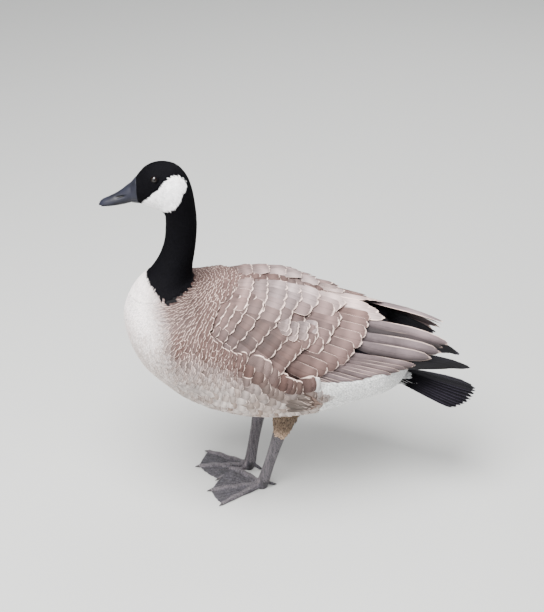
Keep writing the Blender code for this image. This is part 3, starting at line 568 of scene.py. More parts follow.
def lay(surface, roots, tips, vane, width, low, high, roll=0.0, sweep=0.0, lift=None):
    """Vertices of feathers whose middle lines run from root to tip places of a surface."""
    count = len(roots)
    width, low, high, roll, sweep = (
        np.broadcast_to(value, (count,))[:, None] for value in (width, low, high, roll, sweep))
    # Each tip is a little uneven, and no two alike
    ragged = 0.014 * np.sin(7.31 * np.arange(count)[:, None] + 3.7 * np.arange(len(vane.v)) ** 2)
    v, u = vane.v + ragged * smooth(0.75, 0.95, vane.row), vane.u[None]
    step = tips - roots
    line = roots[:, None] + step[:, None] * v[..., None]
    _, normal, along, across = surface.at(line)
    run = unit(along * step[:, None, :1] + across * step[:, None, 1:])
    side = np.cross(normal, run)
    reach = u * vane.half[None] * width / 2.0 + sweep * width * (v * v - v)
    place = line + surface.steps(line, side) * reach[..., None]
    point, normal, _, _ = surface.at(place)
    height = low + (high - low) * v + vane.dome[None] * width + roll * u * vane.half[None] * width / 2.0
    if lift is not None:
        height = height + lift(point)
    return point + normal * height[..., None]


def bake_patches(surface, roots):
    """The place of each root on an unwrap of the surface."""
    across = np.mod(roots[:, 1], surface.columns) / surface.columns
    return BAKE_MARGIN + (1.0 - 2.0 * BAKE_MARGIN) * np.stack([across, roots[:, 0] / surface.rows], -1)


def drift(points, size, seed):
    """A soft noise between about -1 and 1, with waves of about this size."""
    chance = np.random.default_rng(seed)
    count = 7
    waves = chance.normal(0.0, 1.0 / size, (count, 3))
    return np.sin(points @ waves.T + chance.uniform(0.0, 6.28, count)).sum(-1) / 3.0


def body_places(surface, targets, side):
    """Places on one side of the body nearest to (x, z) targets."""
    points = surface.points.reshape(-1, 3)
    own = np.nonzero(points[:, 1] * side > 0.0)[0]
    places = []
    for x, z in targets:
        best = own[np.argmin((points[own, 0] - x) ** 2 + (points[own, 2] - z) ** 2)]
        places.append(divmod(best, surface.columns))
    return np.array(places, float)


def rows_of_roots(surface, row_gap, feather_gap, chance, jitter=0.14):
    """Root places on rows across the lie, a local gap apart in both directions."""
    points = surface.points
    step = np.linalg.norm(np.diff(points, axis=0), axis=-1) / ((row_gap[1:] + row_gap[:-1]) / 2.0)
    run = np.concatenate([np.zeros((1, surface.columns)), np.cumsum(step, axis=0)])
    index = np.arange(surface.rows)
    columns = np.arange(surface.columns)
    last = surface.rows - 1
    roots = []
    for level in range(int(run.max()) + 1):
        r = np.array([np.interp(level + 0.5, run[:, c], index, right=-1.0) for c in columns])
        inside = r >= 0.0
        place = np.stack([np.where(inside, r, last), columns], -1).astype(float)
        if surface.wrap:
            place = np.concatenate([place, place[:1] + [0.0, surface.columns]])
            inside = np.append(inside, inside[0])
        row, column = place.astype(int).T
        gap = feather_gap[np.clip(row, 0, last), column % surface.columns]
        span = np.linalg.norm(np.diff(surface.at(place)[0], axis=0), axis=-1) / gap[:-1]
        span = np.where(inside[1:] & inside[:-1], span, 0.0)
        reach = np.concatenate([[0.0], np.cumsum(span)])
        count = int(round(reach[-1]))
        if count < 1:
            continue
        at = (np.arange(count) + 0.25 + 0.5 * (level % 2)) / count * reach[-1]
        at = at + chance.uniform(-jitter, jitter, count)
        c = np.interp(at, reach, place[:, 1])
        r = np.interp(c, place[:, 1], place[:, 0])
        roots.append(np.stack([r, c], -1))
    return np.concatenate(roots)


def grow_along(surface, roots, length, turn=0.0):
    """Tip places for feathers of these lengths that follow the surface's lie, turned by an angle."""
    _, normal, along, _ = surface.at(roots)
    run = unit(along)
    side = np.cross(normal, run)
    turn = np.broadcast_to(turn, (len(roots),))[:, None]
    way = run * np.cos(turn) + side * np.sin(turn)
    return roots + surface.steps(roots, way * np.broadcast_to(length, (len(roots),))[:, None])


def feather_mesh(name, batches, plumage):
    """One mesh from laid feathers, with their colours and two UV maps."""
    starts = np.cumsum([0] + [len(batch.uv) for batch in batches])
    faces = np.concatenate([batch.faces + start for batch, start in zip(batches, starts)])
    points, tint, edge, uv, bake = (
        np.concatenate([getattr(batch, label) for batch in batches])
        for label in ("points", "tint", "edge", "uv", "bake"))
    obj = triangle_mesh(name, points, faces, plumage_material(plumage))
    for label, values in (("vane", uv), ("OFBake", bake)):
        layer = obj.data.uv_layers.new(name=label)
        layer.uv.foreach_set("vector", values[faces.ravel()].astype(np.float32).ravel())
    set_values(obj, "tint", tint)
    set_values(obj, "edge", edge)
    obj.data.set_sharp_from_angle(angle=math.radians(70.0))
    return obj


def set_values(obj, label, values, kind="FLOAT_COLOR", field="color"):
    """Gives each vertex its own value."""
    attribute = obj.data.attributes.new(label, kind, "POINT")
    attribute.data.foreach_set(field, np.asarray(values, np.float32).ravel())


def triangle_mesh(name, points, faces, material):
    """A smooth mesh object from millimetre points and triangles."""
    mesh = bpy.data.meshes.new(name)
    faces = np.asarray(faces, np.int32)
    mesh.vertices.add(len(points))
    mesh.vertices.foreach_set("co", (np.asarray(points) * METRES).astype(np.float32).ravel())
    mesh.loops.add(faces.size)
    mesh.loops.foreach_set("vertex_index", faces.ravel())
    mesh.polygons.add(len(faces))
    mesh.polygons.foreach_set("loop_start", np.arange(0, faces.size, 3, dtype=np.int32))
    mesh.update(calc_edges=True)
    mesh.validate()
    mesh.shade_smooth()
    obj = bpy.data.objects.new(name, mesh)
    bpy.context.scene.collection.objects.link(obj)
    if material is not None:
        mesh.materials.append(material)
    return obj


# Markings

def outside_polygon(polygon, x, z):
    """Distance from a polygon's edge, positive outside."""
    x, z = np.asarray(x, float), np.asarray(z, float)
    best = np.full(x.shape, 1e9)
    inside = np.zeros(x.shape, bool)
    for (ax, az), (bx, bz) in zip(polygon, polygon[1:] + polygon[:1]):
        length = (bx - ax) ** 2 + (bz - az) ** 2
        share = np.clip(((x - ax) * (bx - ax) + (z - az) * (bz - az)) / length, 0.0, 1.0)
        best = np.minimum(best, np.hypot(x - ax - share * (bx - ax), z - az - share * (bz - az)))
        crosses = (az > z) != (bz > z)
        inside ^= crosses & (x < (bx - ax) * (z - az) / (bz - az + 1e-12) + ax)
    return np.where(inside, -best, best)


def markings(points, wobble):
    """Colour, edge colour and edge width of the plumage at each point, the same for skin and coat."""
    colours = bpy.context.scene.goose_plumage
    breast, brown, buff, white, dark, black = (
        np.array(getattr(colours, label)) for label in ("breast", "brown", "buff", "vent", "tail", "black"))
    x, y, z = points[:, 0], np.abs(points[:, 1]), points[:, 2]
    # Pale breast, brown sides and pale belly
    grey_side = smooth(-226.0, -178.0, x + 0.12 * (z - 300.0))
    lift = 30.0 * smooth(-50.0, -120.0, x) - 0.12 * x
    low = smooth(266.0 + lift, 184.0 + 0.7 * lift, z)
    patches = drift(points, 26.0, PATCH_DRIFT)
    tint = mix(breast, colours.belly, 0.12 + 0.6 * smooth(350.0, 255.0, z))
    tint = mix(tint, brown, np.clip(grey_side * (1.0 - 0.86 * low) + 0.05 * patches * grey_side, 0.0, 1.0))
    edge = mix(breast * 1.04, buff, 0.35 + 0.65 * grey_side * (1.0 - 0.7 * low))
    rim = 0.075 - 0.02 * smooth(-170.0, -80.0, x)
    near_neck = smooth(46.0, 6.0, np.hypot(x + 165.0, z - 372.0)) * smooth(-205.0, -180.0, x)
    # White vent, which the flank's feathers overlap in a point, and dark rump
    edge_x = 12.0 + 34.0 * np.exp(-(((z - 224.0) / 15.0) ** 2))
    vent = smooth(0.0, 9.0, x - edge_x + wobble * 2.0) * smooth(268.0, 250.0, z)
    vent = np.maximum(vent, smooth(160.0, 168.0, x))
    rump = smooth(70.0, 110.0, x) * smooth(258.0, 272.0, z) * (1.0 - smooth(160.0, 168.0, x))
    # Black neck with the white cheek
    sock = z > np.interp(x, *np.transpose(SOCK_EDGE)) + wobble * 2.2
    cheek = sock & (outside_polygon(CHEEK, x, z) < wobble) & ((y > 7.0 + wobble) | (z < 512.0))
    for share, middle, border in (
            (near_neck, brown * 0.62, buff * 0.8), (vent, white, white * 1.08),
            (rump, dark * 1.6, brown * 0.35), (sock, black, black * 1.5),
            (cheek, colours.cheek, colours.cheek)):
        tint, edge = mix(tint, middle, share), mix(edge, border, share)
    return tint, edge, rim


# Materials

# Barbs across a feather, their contrast, a dark shaft, roughness, specular level, and the shade under
# the feather above
PLUMAGE = {
    "black_plumage": (4.0, 0.3, 0.0, 0.75, 0.06, 0.1),
    "body_plumage": (10.0, 0.16, 0.08, 0.8, 0.2, 0.42),
    "wing_plumage": (30.0, 0.15, 0.2, 0.66, 0.3, 0.5),
    "tail_plumage": (60.0, 0.22, -0.35, 0.62, 0.1, 0.1),
}


def built_once(store, name):
    """Lets a builder run only when bpy.data holds nothing under its name yet."""
    def wrap(build):
        return lambda: getattr(bpy.data, store).get(name) or build(name)
    return wrap


def link_or_set(tree, socket, value):
    if isinstance(value, bpy.types.NodeSocket):
        tree.links.new(value, socket)
    elif value is not None:
        socket.default_value = value


def add_node(tree, kind, inputs=None, **settings):
    """A node with its settings, and its inputs set or linked by name or number."""
    node = tree.nodes.new(kind)
    for key, value in settings.items():
        setattr(node, key, value)
    for key, value in (inputs or {}).items():
        link_or_set(tree, node.inputs[key], value)
    return node


def calc(tree, operation, a, b=None, c=None):
    return add_node(tree, "ShaderNodeMath", {0: a, 1: b, 2: c}, operation=operation).outputs[0]


def vector_calc(tree, operation, a, b=None, output="Vector"):
    return add_node(tree, "ShaderNodeVectorMath", {0: a, 1: b}, operation=operation).outputs[output]


def ramp(tree, value, low, high):
    """A soft step between low and high."""
    return add_node(tree, "ShaderNodeMapRange", {"Value": value, "From Min": low, "From Max": high},
                    interpolation_type="SMOOTHSTEP").outputs[0]


def noise(tree, vector, scale, detail):
    inputs = {"Vector": vector, "Scale": scale, "Detail": detail}
    return add_node(tree, "ShaderNodeTexNoise", inputs).outputs[0]


def blend_colour(tree, share, a, b, kind="MIX"):
    node = add_node(tree, "ShaderNodeMix", {0: share, 6: a, 7: b}, data_type="RGBA", blend_type=kind)
    return node.outputs[2]


def shaded(tree, colour, tone):
    """A colour times a grey tone."""
    grey = add_node(tree, "ShaderNodeCombineXYZ", {0: tone, 1: tone, 2: tone}).outputs[0]
    return blend_colour(tree, 1.0, colour, grey, "MULTIPLY")


def object_place(tree):
    return add_node(tree, "ShaderNodeTexCoord").outputs["Object"]


def painted(tree, label):
    """The node that reads one of a mesh's own colours."""
    return add_node(tree, "ShaderNodeAttribute", attribute_name=label)


def new_group(name, colours, values):
    """A shader group that puts out a colour and a height, with its input and output nodes."""
    group = bpy.data.node_groups.new(name, "ShaderNodeTree")
    for kind, inputs in (("NodeSocketColor", colours), ("NodeSocketFloat", values)):
        for label, value in inputs.items():
            group.interface.new_socket(label, in_out="INPUT", socket_type=kind).default_value = value
    group.interface.new_socket("Color", in_out="OUTPUT", socket_type="NodeSocketColor")
    group.interface.new_socket("Height", in_out="OUTPUT", socket_type="NodeSocketFloat")
    return group, group.nodes.new("NodeGroupInput").outputs, group.nodes.new("NodeGroupOutput").inputs


@built_once("node_groups", "Feather vane")
def vane_group(name):
    """Shader group: the pale edge, shaft and barbs of a feather, from its own UV map."""
    group, given, out = new_group(
        name, {"Tint": (0.3, 0.2, 0.15, 1.0), "Edge": (0.7, 0.6, 0.5, 1.0)},
        {"Edge Width": 0.1, "Side Width": 0.1, "Barbs": 24.0, "Contrast": 0.1, "Shaft": 0.25, "Overlap Shadow": 0.3})
    do = functools.partial(calc, group)
    uv = add_node(group, "ShaderNodeUVMap", uv_map="vane").outputs[0]
    u, down, _ = add_node(group, "ShaderNodeSeparateXYZ", {0: uv}).outputs
    across = do("ABSOLUTE", do("MULTIPLY_ADD", u, 2.0, -1.0))
    slant = do("MULTIPLY_ADD", across, -0.35, down)
    along_barbs = add_node(group, "ShaderNodeCombineXYZ", {
        0: do("MULTIPLY", u, 3.0), 1: do("MULTIPLY", slant, 40.0)}).outputs[0]
    streak = do("SUBTRACT", noise(group, along_barbs, 1.0, 2.0), 0.5)
    # The pale rim follows the round tip and the sides
    width, side_width = given["Edge Width"], given["Side Width"]
    bowed = do("MULTIPLY_ADD", do("MULTIPLY", across, across), do("MULTIPLY", width, 0.7), down)
    tip = ramp(group, do("MULTIPLY_ADD", do("MULTIPLY", streak, width), 1.6, bowed),
               do("MULTIPLY_ADD", width, -1.35, 1.0), do("MULTIPLY_ADD", width, -0.3, 1.0))
    side = ramp(group, across, do("SUBTRACT", 1.0, side_width), do("MULTIPLY_ADD", side_width, -0.5, 1.0))
    rim = do("MAXIMUM", tip, do("MULTIPLY", side, ramp(group, down, 0.25, 0.6)))
    # Barbs, clouds, streaks and the shaft shade both colours
    barbs = do("SINE", do("MULTIPLY", slant, do("MULTIPLY", given["Barbs"], 2.0 * math.pi)))
    cloud = do("SUBTRACT", noise(group, object_place(group), 130.0, 3.0), 0.5)
    shaft = do("MULTIPLY", ramp(group, across, 0.07, 0.02), given["Shaft"])
    shade = do("MULTIPLY_ADD", barbs, do("MULTIPLY", given["Contrast"], 0.35), 1.0)
    spread = do("MULTIPLY", given["Contrast"], 2.2)
    for spot in (cloud, streak):
        shade = do("MULTIPLY_ADD", spot, spread, shade)
    shade = do("SUBTRACT", shade, shaft)
    # The middle darkens towards the tip's rim, a band of the feather's own colour, and a painted shadow
    # darkens it where the feather above covers it
    overlap_shadow = do("SUBTRACT", 1.0, ramp(group, down, 0.5, 0.74))
    dusk = do("MULTIPLY_ADD", ramp(group, down, 0.72, 0.95), -0.42, 0.14)
    dusk = do("SUBTRACT", dusk, do("MULTIPLY", overlap_shadow, given["Overlap Shadow"]))
    inner = shaded(group, given["Tint"], do("ADD", shade, dusk))
    group.links.new(blend_colour(group, rim, inner, shaded(group, given["Edge"], shade)), out["Color"])
    height = do("MULTIPLY_ADD", barbs, 0.3, do("MULTIPLY", shaft, 1.6))
    group.links.new(do("ADD", height, streak), out["Height"])
    return group


@built_once("node_groups", "Horn grain")
def grain_group(name):
    """Shader group: a mottled tone and a fine relief from Object coordinates."""
    group, given, out = new_group(
        name, {"Base": (0.1, 0.1, 0.1, 1.0), "Worn": (0.2, 0.2, 0.2, 1.0)}, {"Scale": 90.0, "Amount": 0.4})
    place = object_place(group)
    coarse = noise(group, place, given["Scale"], 5.0)
    fine = noise(group, place, calc(group, "MULTIPLY", given["Scale"], 9.0), 2.0)
    share = calc(group, "MULTIPLY", ramp(group, coarse, 0.35, 0.72), given["Amount"])
    group.links.new(blend_colour(group, share, given["Base"], given["Worn"]), out["Color"])
    group.links.new(calc(group, "MULTIPLY_ADD", fine, 0.5, coarse), out["Height"])
    return group


def new_material(name, roughness, **sockets):
    """A named material, its tree and its Principled shader."""
    material = bpy.data.materials.new(name)
    material.use_nodes = True
    shader = material.node_tree.nodes["Principled BSDF"]
    shader.inputs["Roughness"].default_value = roughness
    for label, value in sockets.items():
        shader.inputs[label.replace("_", " ")].default_value = value
    return material, material.node_tree, shader


def finish_material(tree, shader, colour, height, distance, strength=0.6):
    """Links a colour and the relief of a height to the shader."""
    tree.links.new(colour, shader.inputs["Base Color"])
    node = add_node(tree, "ShaderNodeBump", {"Strength": strength, "Distance": distance, "Height": height})
    tree.links.new(node.outputs[0], shader.inputs["Normal"])


def plumage_material(name):
    found = bpy.data.materials.get(name)
    if found:
        return found
    # overlap is the strength of the painted shadow under the feather above
    barbs, contrast, shaft, roughness, specular, overlap = PLUMAGE[name]
    material, tree, shader = new_material(name, roughness, Specular_IOR_Level=specular)
    tint, edge = painted(tree, "tint").outputs, painted(tree, "edge").outputs
    vane = add_node(tree, "ShaderNodeGroup", node_tree=vane_group())
    for key, value in (("Tint", tint["Color"]), ("Edge", edge["Color"]), ("Edge Width", edge["Alpha"]),
                       ("Side Width", tint["Alpha"]), ("Barbs", barbs), ("Contrast", contrast),
                       ("Shaft", shaft), ("Overlap Shadow", overlap)):
        link_or_set(tree, vane.inputs[key], value)
    finish_material(tree, shader, vane.outputs["Color"], vane.outputs["Height"], 0.0002)
    return material


def grained(tree, base, worn, scale, amount):
    """The colour and height of a grained surface."""
    grain = add_node(tree, "ShaderNodeGroup", node_tree=grain_group())
    for key, value in (("Base", base), ("Worn", worn), ("Scale", scale), ("Amount", amount)):
        link_or_set(tree, grain.inputs[key], value)
    return grain.outputs["Color"], grain.outputs["Height"]


@built_once("materials", "plumage_skin")
def skin_material(name):
    material, tree, shader = new_material(name, 0.85, Specular_IOR_Level=0.08)
    down = noise(tree, object_place(tree), 400.0, 3.0)
    colour = shaded(tree, painted(tree, "tint").outputs["Color"], calc(tree, "MULTIPLY_ADD", down, 0.5, 0.6))
    finish_material(tree, shader, colour, down, 0.0008)
    return material


@built_once("materials", "leg_skin")
def leg_material(name):
    """Grey skin with fine seams between its scales and streaks down the leg."""
    material, tree, shader = new_material(name, 0.48, Specular_IOR_Level=0.4)
    tint = painted(tree, "tint").outputs["Color"]
    pale = blend_colour(tree, 0.12, tint, (0.62, 0.58, 0.56, 1.0))
    colour, grain = grained(tree, tint, pale, 240.0, 0.5)
    place = object_place(tree)
    cells = add_node(
        tree, "ShaderNodeTexVoronoi", {"Vector": place, "Scale": 560.0}, feature="DISTANCE_TO_EDGE")
    seam = ramp(tree, cells.outputs[0], 0.0, 0.16)
    streak = noise(tree, vector_calc(tree, "MULTIPLY", place, (1.0, 1.0, 0.14)), 420.0, 3.0)
    tone = calc(tree, "MULTIPLY_ADD", seam, 0.42, 0.26)
    tone = calc(tree, "MULTIPLY_ADD", ramp(tree, streak, 0.32, 0.68), 0.62, tone)
    height = calc(tree, "MULTIPLY_ADD", seam, 0.6, calc(tree, "MULTIPLY", grain, 0.5))
    height = calc(tree, "MULTIPLY_ADD", streak, 0.8, height)
    finish_material(tree, shader, shaded(tree, colour, tone), height, 0.0006, 0.9)
    return material


@built_once("materials", "bill_slate")
def bill_material(name):
    """Slate with a worn grain, and painted black shade inside the nostrils."""
    bill = np.array(bpy.context.scene.goose_horn.bill)
    material, tree, shader = new_material(name, 0.5, Specular_IOR_Level=0.32)
    slate, grain = grained(tree, (*bill, 1.0), (*(bill * (2.6, 2.7, 2.9)), 1.0), 70.0, 0.6)
    do = functools.partial(calc, tree)
    x, _, z = add_node(tree, "ShaderNodeSeparateXYZ", {0: object_place(tree)}).outputs
    nx, nz, long, tall, slope = NOSTRIL
    dx = do("MULTIPLY_ADD", x, 1.0 / METRES, -nx)
    dz = do("MULTIPLY_ADD", dx, -slope, do("MULTIPLY_ADD", z, 1.0 / METRES, -nz))
    away = do("ADD", *(do("POWER", do("ABSOLUTE", do("DIVIDE", reach, size)), 2.0)
                       for reach, size in ((dx, long), (dz, tall))))
    # The nostril's slot is painted black as the shade inside its opening
    colour = blend_colour(tree, ramp(tree, away, 0.55, 1.0), (0.001, 0.001, 0.0012, 1.0), slate)
    finish_material(tree, shader, colour, grain, 0.0002)
    return material


@built_once("materials", "claw_horn")
def claw_material(name):
    claw = np.array(bpy.context.scene.goose_horn.claw)
    material, tree, shader = new_material(name, 0.38)
    finish_material(tree, shader, *grained(tree, (*claw, 1.0), (*(claw * 3.0), 1.0), 240.0, 0.5), 0.0001)
    return material


@built_once("materials", "eye_gloss")
def eye_material(name):
    """A glossy eye: black pupil, rayed iris and dark rim, by the distance from the eye's axis."""
    material, tree, shader = new_material(
        name, 0.05, Specular_IOR_Level=0.3, Coat_Weight=0.3, Coat_Roughness=0.02)
    place = object_place(tree)
    x, y, z = add_node(tree, "ShaderNodeSeparateXYZ", {0: place}).outputs
    centre, _, _, out = eye_frame(SIDES["right"])
    right = add_node(tree, "ShaderNodeCombineXYZ", {0: x, 1: calc(tree, "ABSOLUTE", y), 2: z}).outputs[0]
    reach = vector_calc(tree, "SUBTRACT", right, tuple(centre * METRES))
    away = vector_calc(tree, "LENGTH", vector_calc(tree, "CROSS_PRODUCT", reach, tuple(out)), output="Value")
    rays = calc(tree, "MULTIPLY_ADD", noise(tree, place, 900.0, 2.0), 0.9, 0.5)
    ring = shaded(tree, (*bpy.context.scene.goose_horn.iris, 1.0), rays)
    colour = blend_colour(tree, ramp(tree, away, 0.0024, 0.0027), (0.002, 0.002, 0.002, 1.0), ring)
    colour = blend_colour(tree, ramp(tree, away, 0.0045, 0.0052), colour, (0.003, 0.0025, 0.002, 1.0))
    tree.links.new(colour, shader.inputs["Base Color"])
    return material


# Solid pieces

def tube(rings, loop=False):
    """Points and triangles of a closed skin over like rings, capped, or joined end to end as a loop."""
    rings = np.asarray(rings, float)
    count, sides = rings.shape[:2]
    points = rings.reshape(-1, 3)
    r, k = np.meshgrid(np.arange(count if loop else count - 1), np.arange(sides), indexing="ij")
    a, b = r * sides + k, r * sides + (k + 1) % sides
    c, d = (np.mod(v + sides, count * sides) for v in (b, a))
    faces = np.concatenate([np.stack([a, b, c], -1).reshape(-1, 3), np.stack([a, c, d], -1).reshape(-1, 3)])
    if not loop:
        points = np.concatenate([points, rings[0].mean(0)[None], rings[-1].mean(0)[None]])
        first, last = count * sides, count * sides + 1
        top = (count - 1) * sides
        ends = [((k + 1) % sides, k, first) for k in range(sides)]
        ends += [(top + k, top + (k + 1) % sides, last) for k in range(sides)]
        faces = np.concatenate([faces, ends])
    return points, faces


def ring_of(centre, up, side, sides, fullness=2.0):
    """An oval ring round a centre."""
    angle = 2.0 * np.pi * np.arange(sides) / sides
    c, s = (np.sign(v) * np.abs(v) ** (2.0 / fullness) for v in (np.cos(angle), np.sin(angle)))
    return np.asarray(centre) + c[:, None] * np.asarray(up) + s[:, None] * np.asarray(side)


def solid(name, points, faces, material=None):
    """A closed mesh object whose faces point outwards."""
    obj = triangle_mesh(name, points, faces, material)
    shape = bmesh.new()
    shape.from_mesh(obj.data)
    bmesh.ops.recalc_face_normals(shape, faces=shape.faces)
    shape.to_mesh(obj.data)
    shape.free()
    return obj


def bake_modifiers(obj):
    """Turns an object's modifiers into its mesh."""
    result = bpy.data.meshes.new_from_object(obj.evaluated_get(bpy.context.evaluated_depsgraph_get()))
    if not result.polygons:
        raise RuntimeError(f"{obj.name} came out empty")
    obj.modifiers.clear()
    old, obj.data = obj.data, result
    bpy.data.meshes.remove(old)
    result.name = obj.name


def join(obj, pieces):
    """Fuses closed pieces into an object by one Boolean union and removes them."""
    group = bpy.data.collections.new("pieces")
    bpy.context.scene.collection.children.link(group)
    for piece in pieces:
        bpy.context.scene.collection.objects.unlink(piece)
        group.objects.link(piece)
    modifier = obj.modifiers.new("union", "BOOLEAN")
    modifier.operation, modifier.solver = "UNION", "MANIFOLD"
    modifier.operand_type, modifier.collection = "COLLECTION", group
    bake_modifiers(obj)
    for piece in pieces:
        bpy.data.objects.remove(piece, do_unlink=True)
    bpy.data.collections.remove(group)
    return obj


def melt(obj, facet, rounds, material):
    """Melts a joined solid into one even skin with soft creases."""
    remesh = obj.modifiers.new("remesh", "REMESH")
    remesh.mode, remesh.voxel_size = "VOXEL", facet
    soften = obj.modifiers.new("soften", "SMOOTH")
    soften.factor, soften.iterations = 0.5, rounds
    bake_modifiers(obj)
    obj.data.materials.clear()
    obj.data.materials.append(material)
    obj.data.shade_smooth()


def limb_rings(stations, span, count, sides):
    """Rings along a limb's stations of x, y, z, fore and side half depths."""
    t = np.linspace(*span, count)
    last = len(stations) - 1.0
    rows = curve(stations, t)
    ahead, behind = (curve(stations, np.clip(t + step, 0.0, last))[:, :3] for step in (0.05, -0.05))
    run = unit(ahead - behind)
    side = unit(np.cross(run, (1.0, 0.0, 0.0)))
    up = np.cross(side, run)
    return np.array([ring_of(row[:3], u * row[3], s * row[4], sides) for row, u, s in zip(rows, up, side)])


def thigh_stations(side_name):
    return [(x, SIDES[side_name] * y, z, fore, broad) for x, y, z, fore, broad in THIGHS[side_name]]


def place_piece(piece, slot, *nodes):
    """Puts a finished piece on the body, in place of the solids it stands for. The slot is not used."""
    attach(piece, "root")
    if nodes:
        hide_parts(*nodes)


def set_tint(obj, colours):
    set_values(obj, "tint", np.column_stack([colours, np.ones(len(colours))]))


def vertex_points(obj):
    points = np.empty(len(obj.data.vertices) * 3, np.float32)
    obj.data.vertices.foreach_get("co", points)
    return points.reshape(-1, 3) / METRES


# Pieces

class GOOSE_OT_stage(bpy.types.Operator):
    """Adds the pale floor, the soft lights and the camera."""

    bl_idname = "goose.stage"
    bl_label = "Stage"

    floor_reach = 8.0
    sky, sky_strength = (0.93, 0.96, 1.0, 1.0), 0.52
    # Name, place, what it shines at, share of the overhead light's power, size
    lights = (
        ("overhead", (-0.5, -0.9, 2.4), (-0.02, 0.0, 0.25), 1.0, 1.8),
        ("back", (0.9, 1.6, 1.9), (0.0, 0.0, 0.3), 0.16, 1.6),
        ("front", (-1.6, -1.9, 0.9), (-0.1, 0.0, 0.3), 0.12, 1.4),
    )
    camera_x = -0.032
    sensor = 36.0
    focal_share = 1640.0 / 612.0

    def execute(self, context):
        settings = context.scene.goose_stage
        collection = context.scene.collection.objects
        mesh = bpy.data.meshes.new("floor")
        reach = self.floor_reach
        corners = [(x * reach, y * reach, 0.0) for x, y in ((-1, -1), (1, -1), (1, 1), (-1, 1))]
        mesh.from_pydata(corners, [], [(0, 1, 2, 3)])
        floor = bpy.data.objects.new("floor", mesh)
        collection.link(floor)
        material, _, shader = new_material("floor_paper", 0.9)
        shader.inputs["Base Color"].default_value = (*settings.floor, 1.0)
        mesh.materials.append(material)
        world = bpy.data.worlds.new("studio")
        world.use_nodes = True
        background = world.node_tree.nodes["Background"].inputs
        background["Color"].default_value, background["Strength"].default_value = self.sky, self.sky_strength
        context.scene.world = world
        for name, place, aim, share, size in self.lights:
            light = bpy.data.lights.new(name, "AREA")
            light.energy, light.size = settings.key_power * share, size
            lamp = bpy.data.objects.new(name, light)
            lamp.location = place
            lamp.rotation_euler = (Vector(aim) - Vector(place)).to_track_quat("-Z", "Y").to_euler()
            collection.link(lamp)
        camera = bpy.data.cameras.new("camera")
        camera.sensor_width, camera.lens = self.sensor, self.focal_share * self.sensor
        holder = bpy.data.objects.new("camera", camera)
        holder.location = (self.camera_x, -settings.camera_distance, settings.camera_height)
        holder.rotation_euler = (math.pi / 2.0 - settings.camera_pitch, 0.0, 0.0)
        collection.link(holder)
        context.scene.camera = holder
        return {"FINISHED"}


class GOOSE_OT_skin(bpy.types.Operator):
    """Adds one skin for head, neck, torso and thighs, with the eyelids."""

    bl_idname = "goose.skin"
    bl_label = "Skin"

    # How far the thighs' skin lies under their feathers
    thigh_depth = 2.4
    # Half length and half height of the eye's opening
    opening = (5.0, 4.0)
    # Section of a lid: share of the opening, height over the eye's centre
    lid_section = (
        (0.98, 3.2), (1.02, 3.7), (1.08, 3.85), (1.16, 3.6), (1.26, 3.0), (1.42, 2.0), (1.7, -0.5),
        (1.5, -3.0), (0.98, -1.0),
    )

    def execute(self, context):
        depth = context.scene.goose_shape.coat_depth / METRES
        t = np.concatenate([np.linspace(0.06, NECK_START, 110), np.linspace(NECK_START, LAST_RING, 190)[1:]])
        inset = -np.interp(t, (0.0, 7.0, 13.0, 17.0), (1.0, 1.4, 2.4, depth))
        skin = solid("skin", *tube(body_points(t, 96, inset, bedded=True)), skin_material())
        pieces = []
        for side_name, side in SIDES.items():
            stations = np.array(thigh_stations(side_name))
            stations[:, 3:] -= self.thigh_depth
            pieces.append(solid("thigh", *tube(limb_rings(stations, (0.0, 4.75), 44, 36))))
            pieces.append(self.lids(side))
        join(skin, pieces)
        points = vertex_points(skin)
        tint, _, _ = markings(points, np.zeros(len(points)))
        leg = smooth(168.0, 150.0, points[:, 2])
        set_tint(skin, mix(tint, context.scene.goose_plumage.thigh, leg) * 0.8)
        skin.data.shade_smooth()
        place_piece(skin, "body_feathers", "head", "neck", "torso", "thigh_left", "thigh_right")
        return {"FINISHED"}

    def lids(self, side):
        """Both lids, as one rim round the almond opening of the eye."""
        centre, back, up, out = eye_frame(side)
        rings = []
        for a in np.linspace(0.0, 2.0 * math.pi, 64, endpoint=False):
            corner = 1.0 - 0.22 * math.cos(a) ** 4
            brow = 0.3 * max(math.sin(a), 0.0)
            fold = 0.15 * math.sin(9.0 * a)
            way = back * self.opening[0] * math.cos(a) + up * self.opening[1] * corner * math.sin(a)
            ring = []
            for share, height in self.lid_section:
                lift = height + (brow + fold * (share - 1.0)) * (height > 0.0)
                ring.append(centre + way * share + out * lift)
            rings.append(ring)
        return solid("lids", *tube(rings, loop=True))


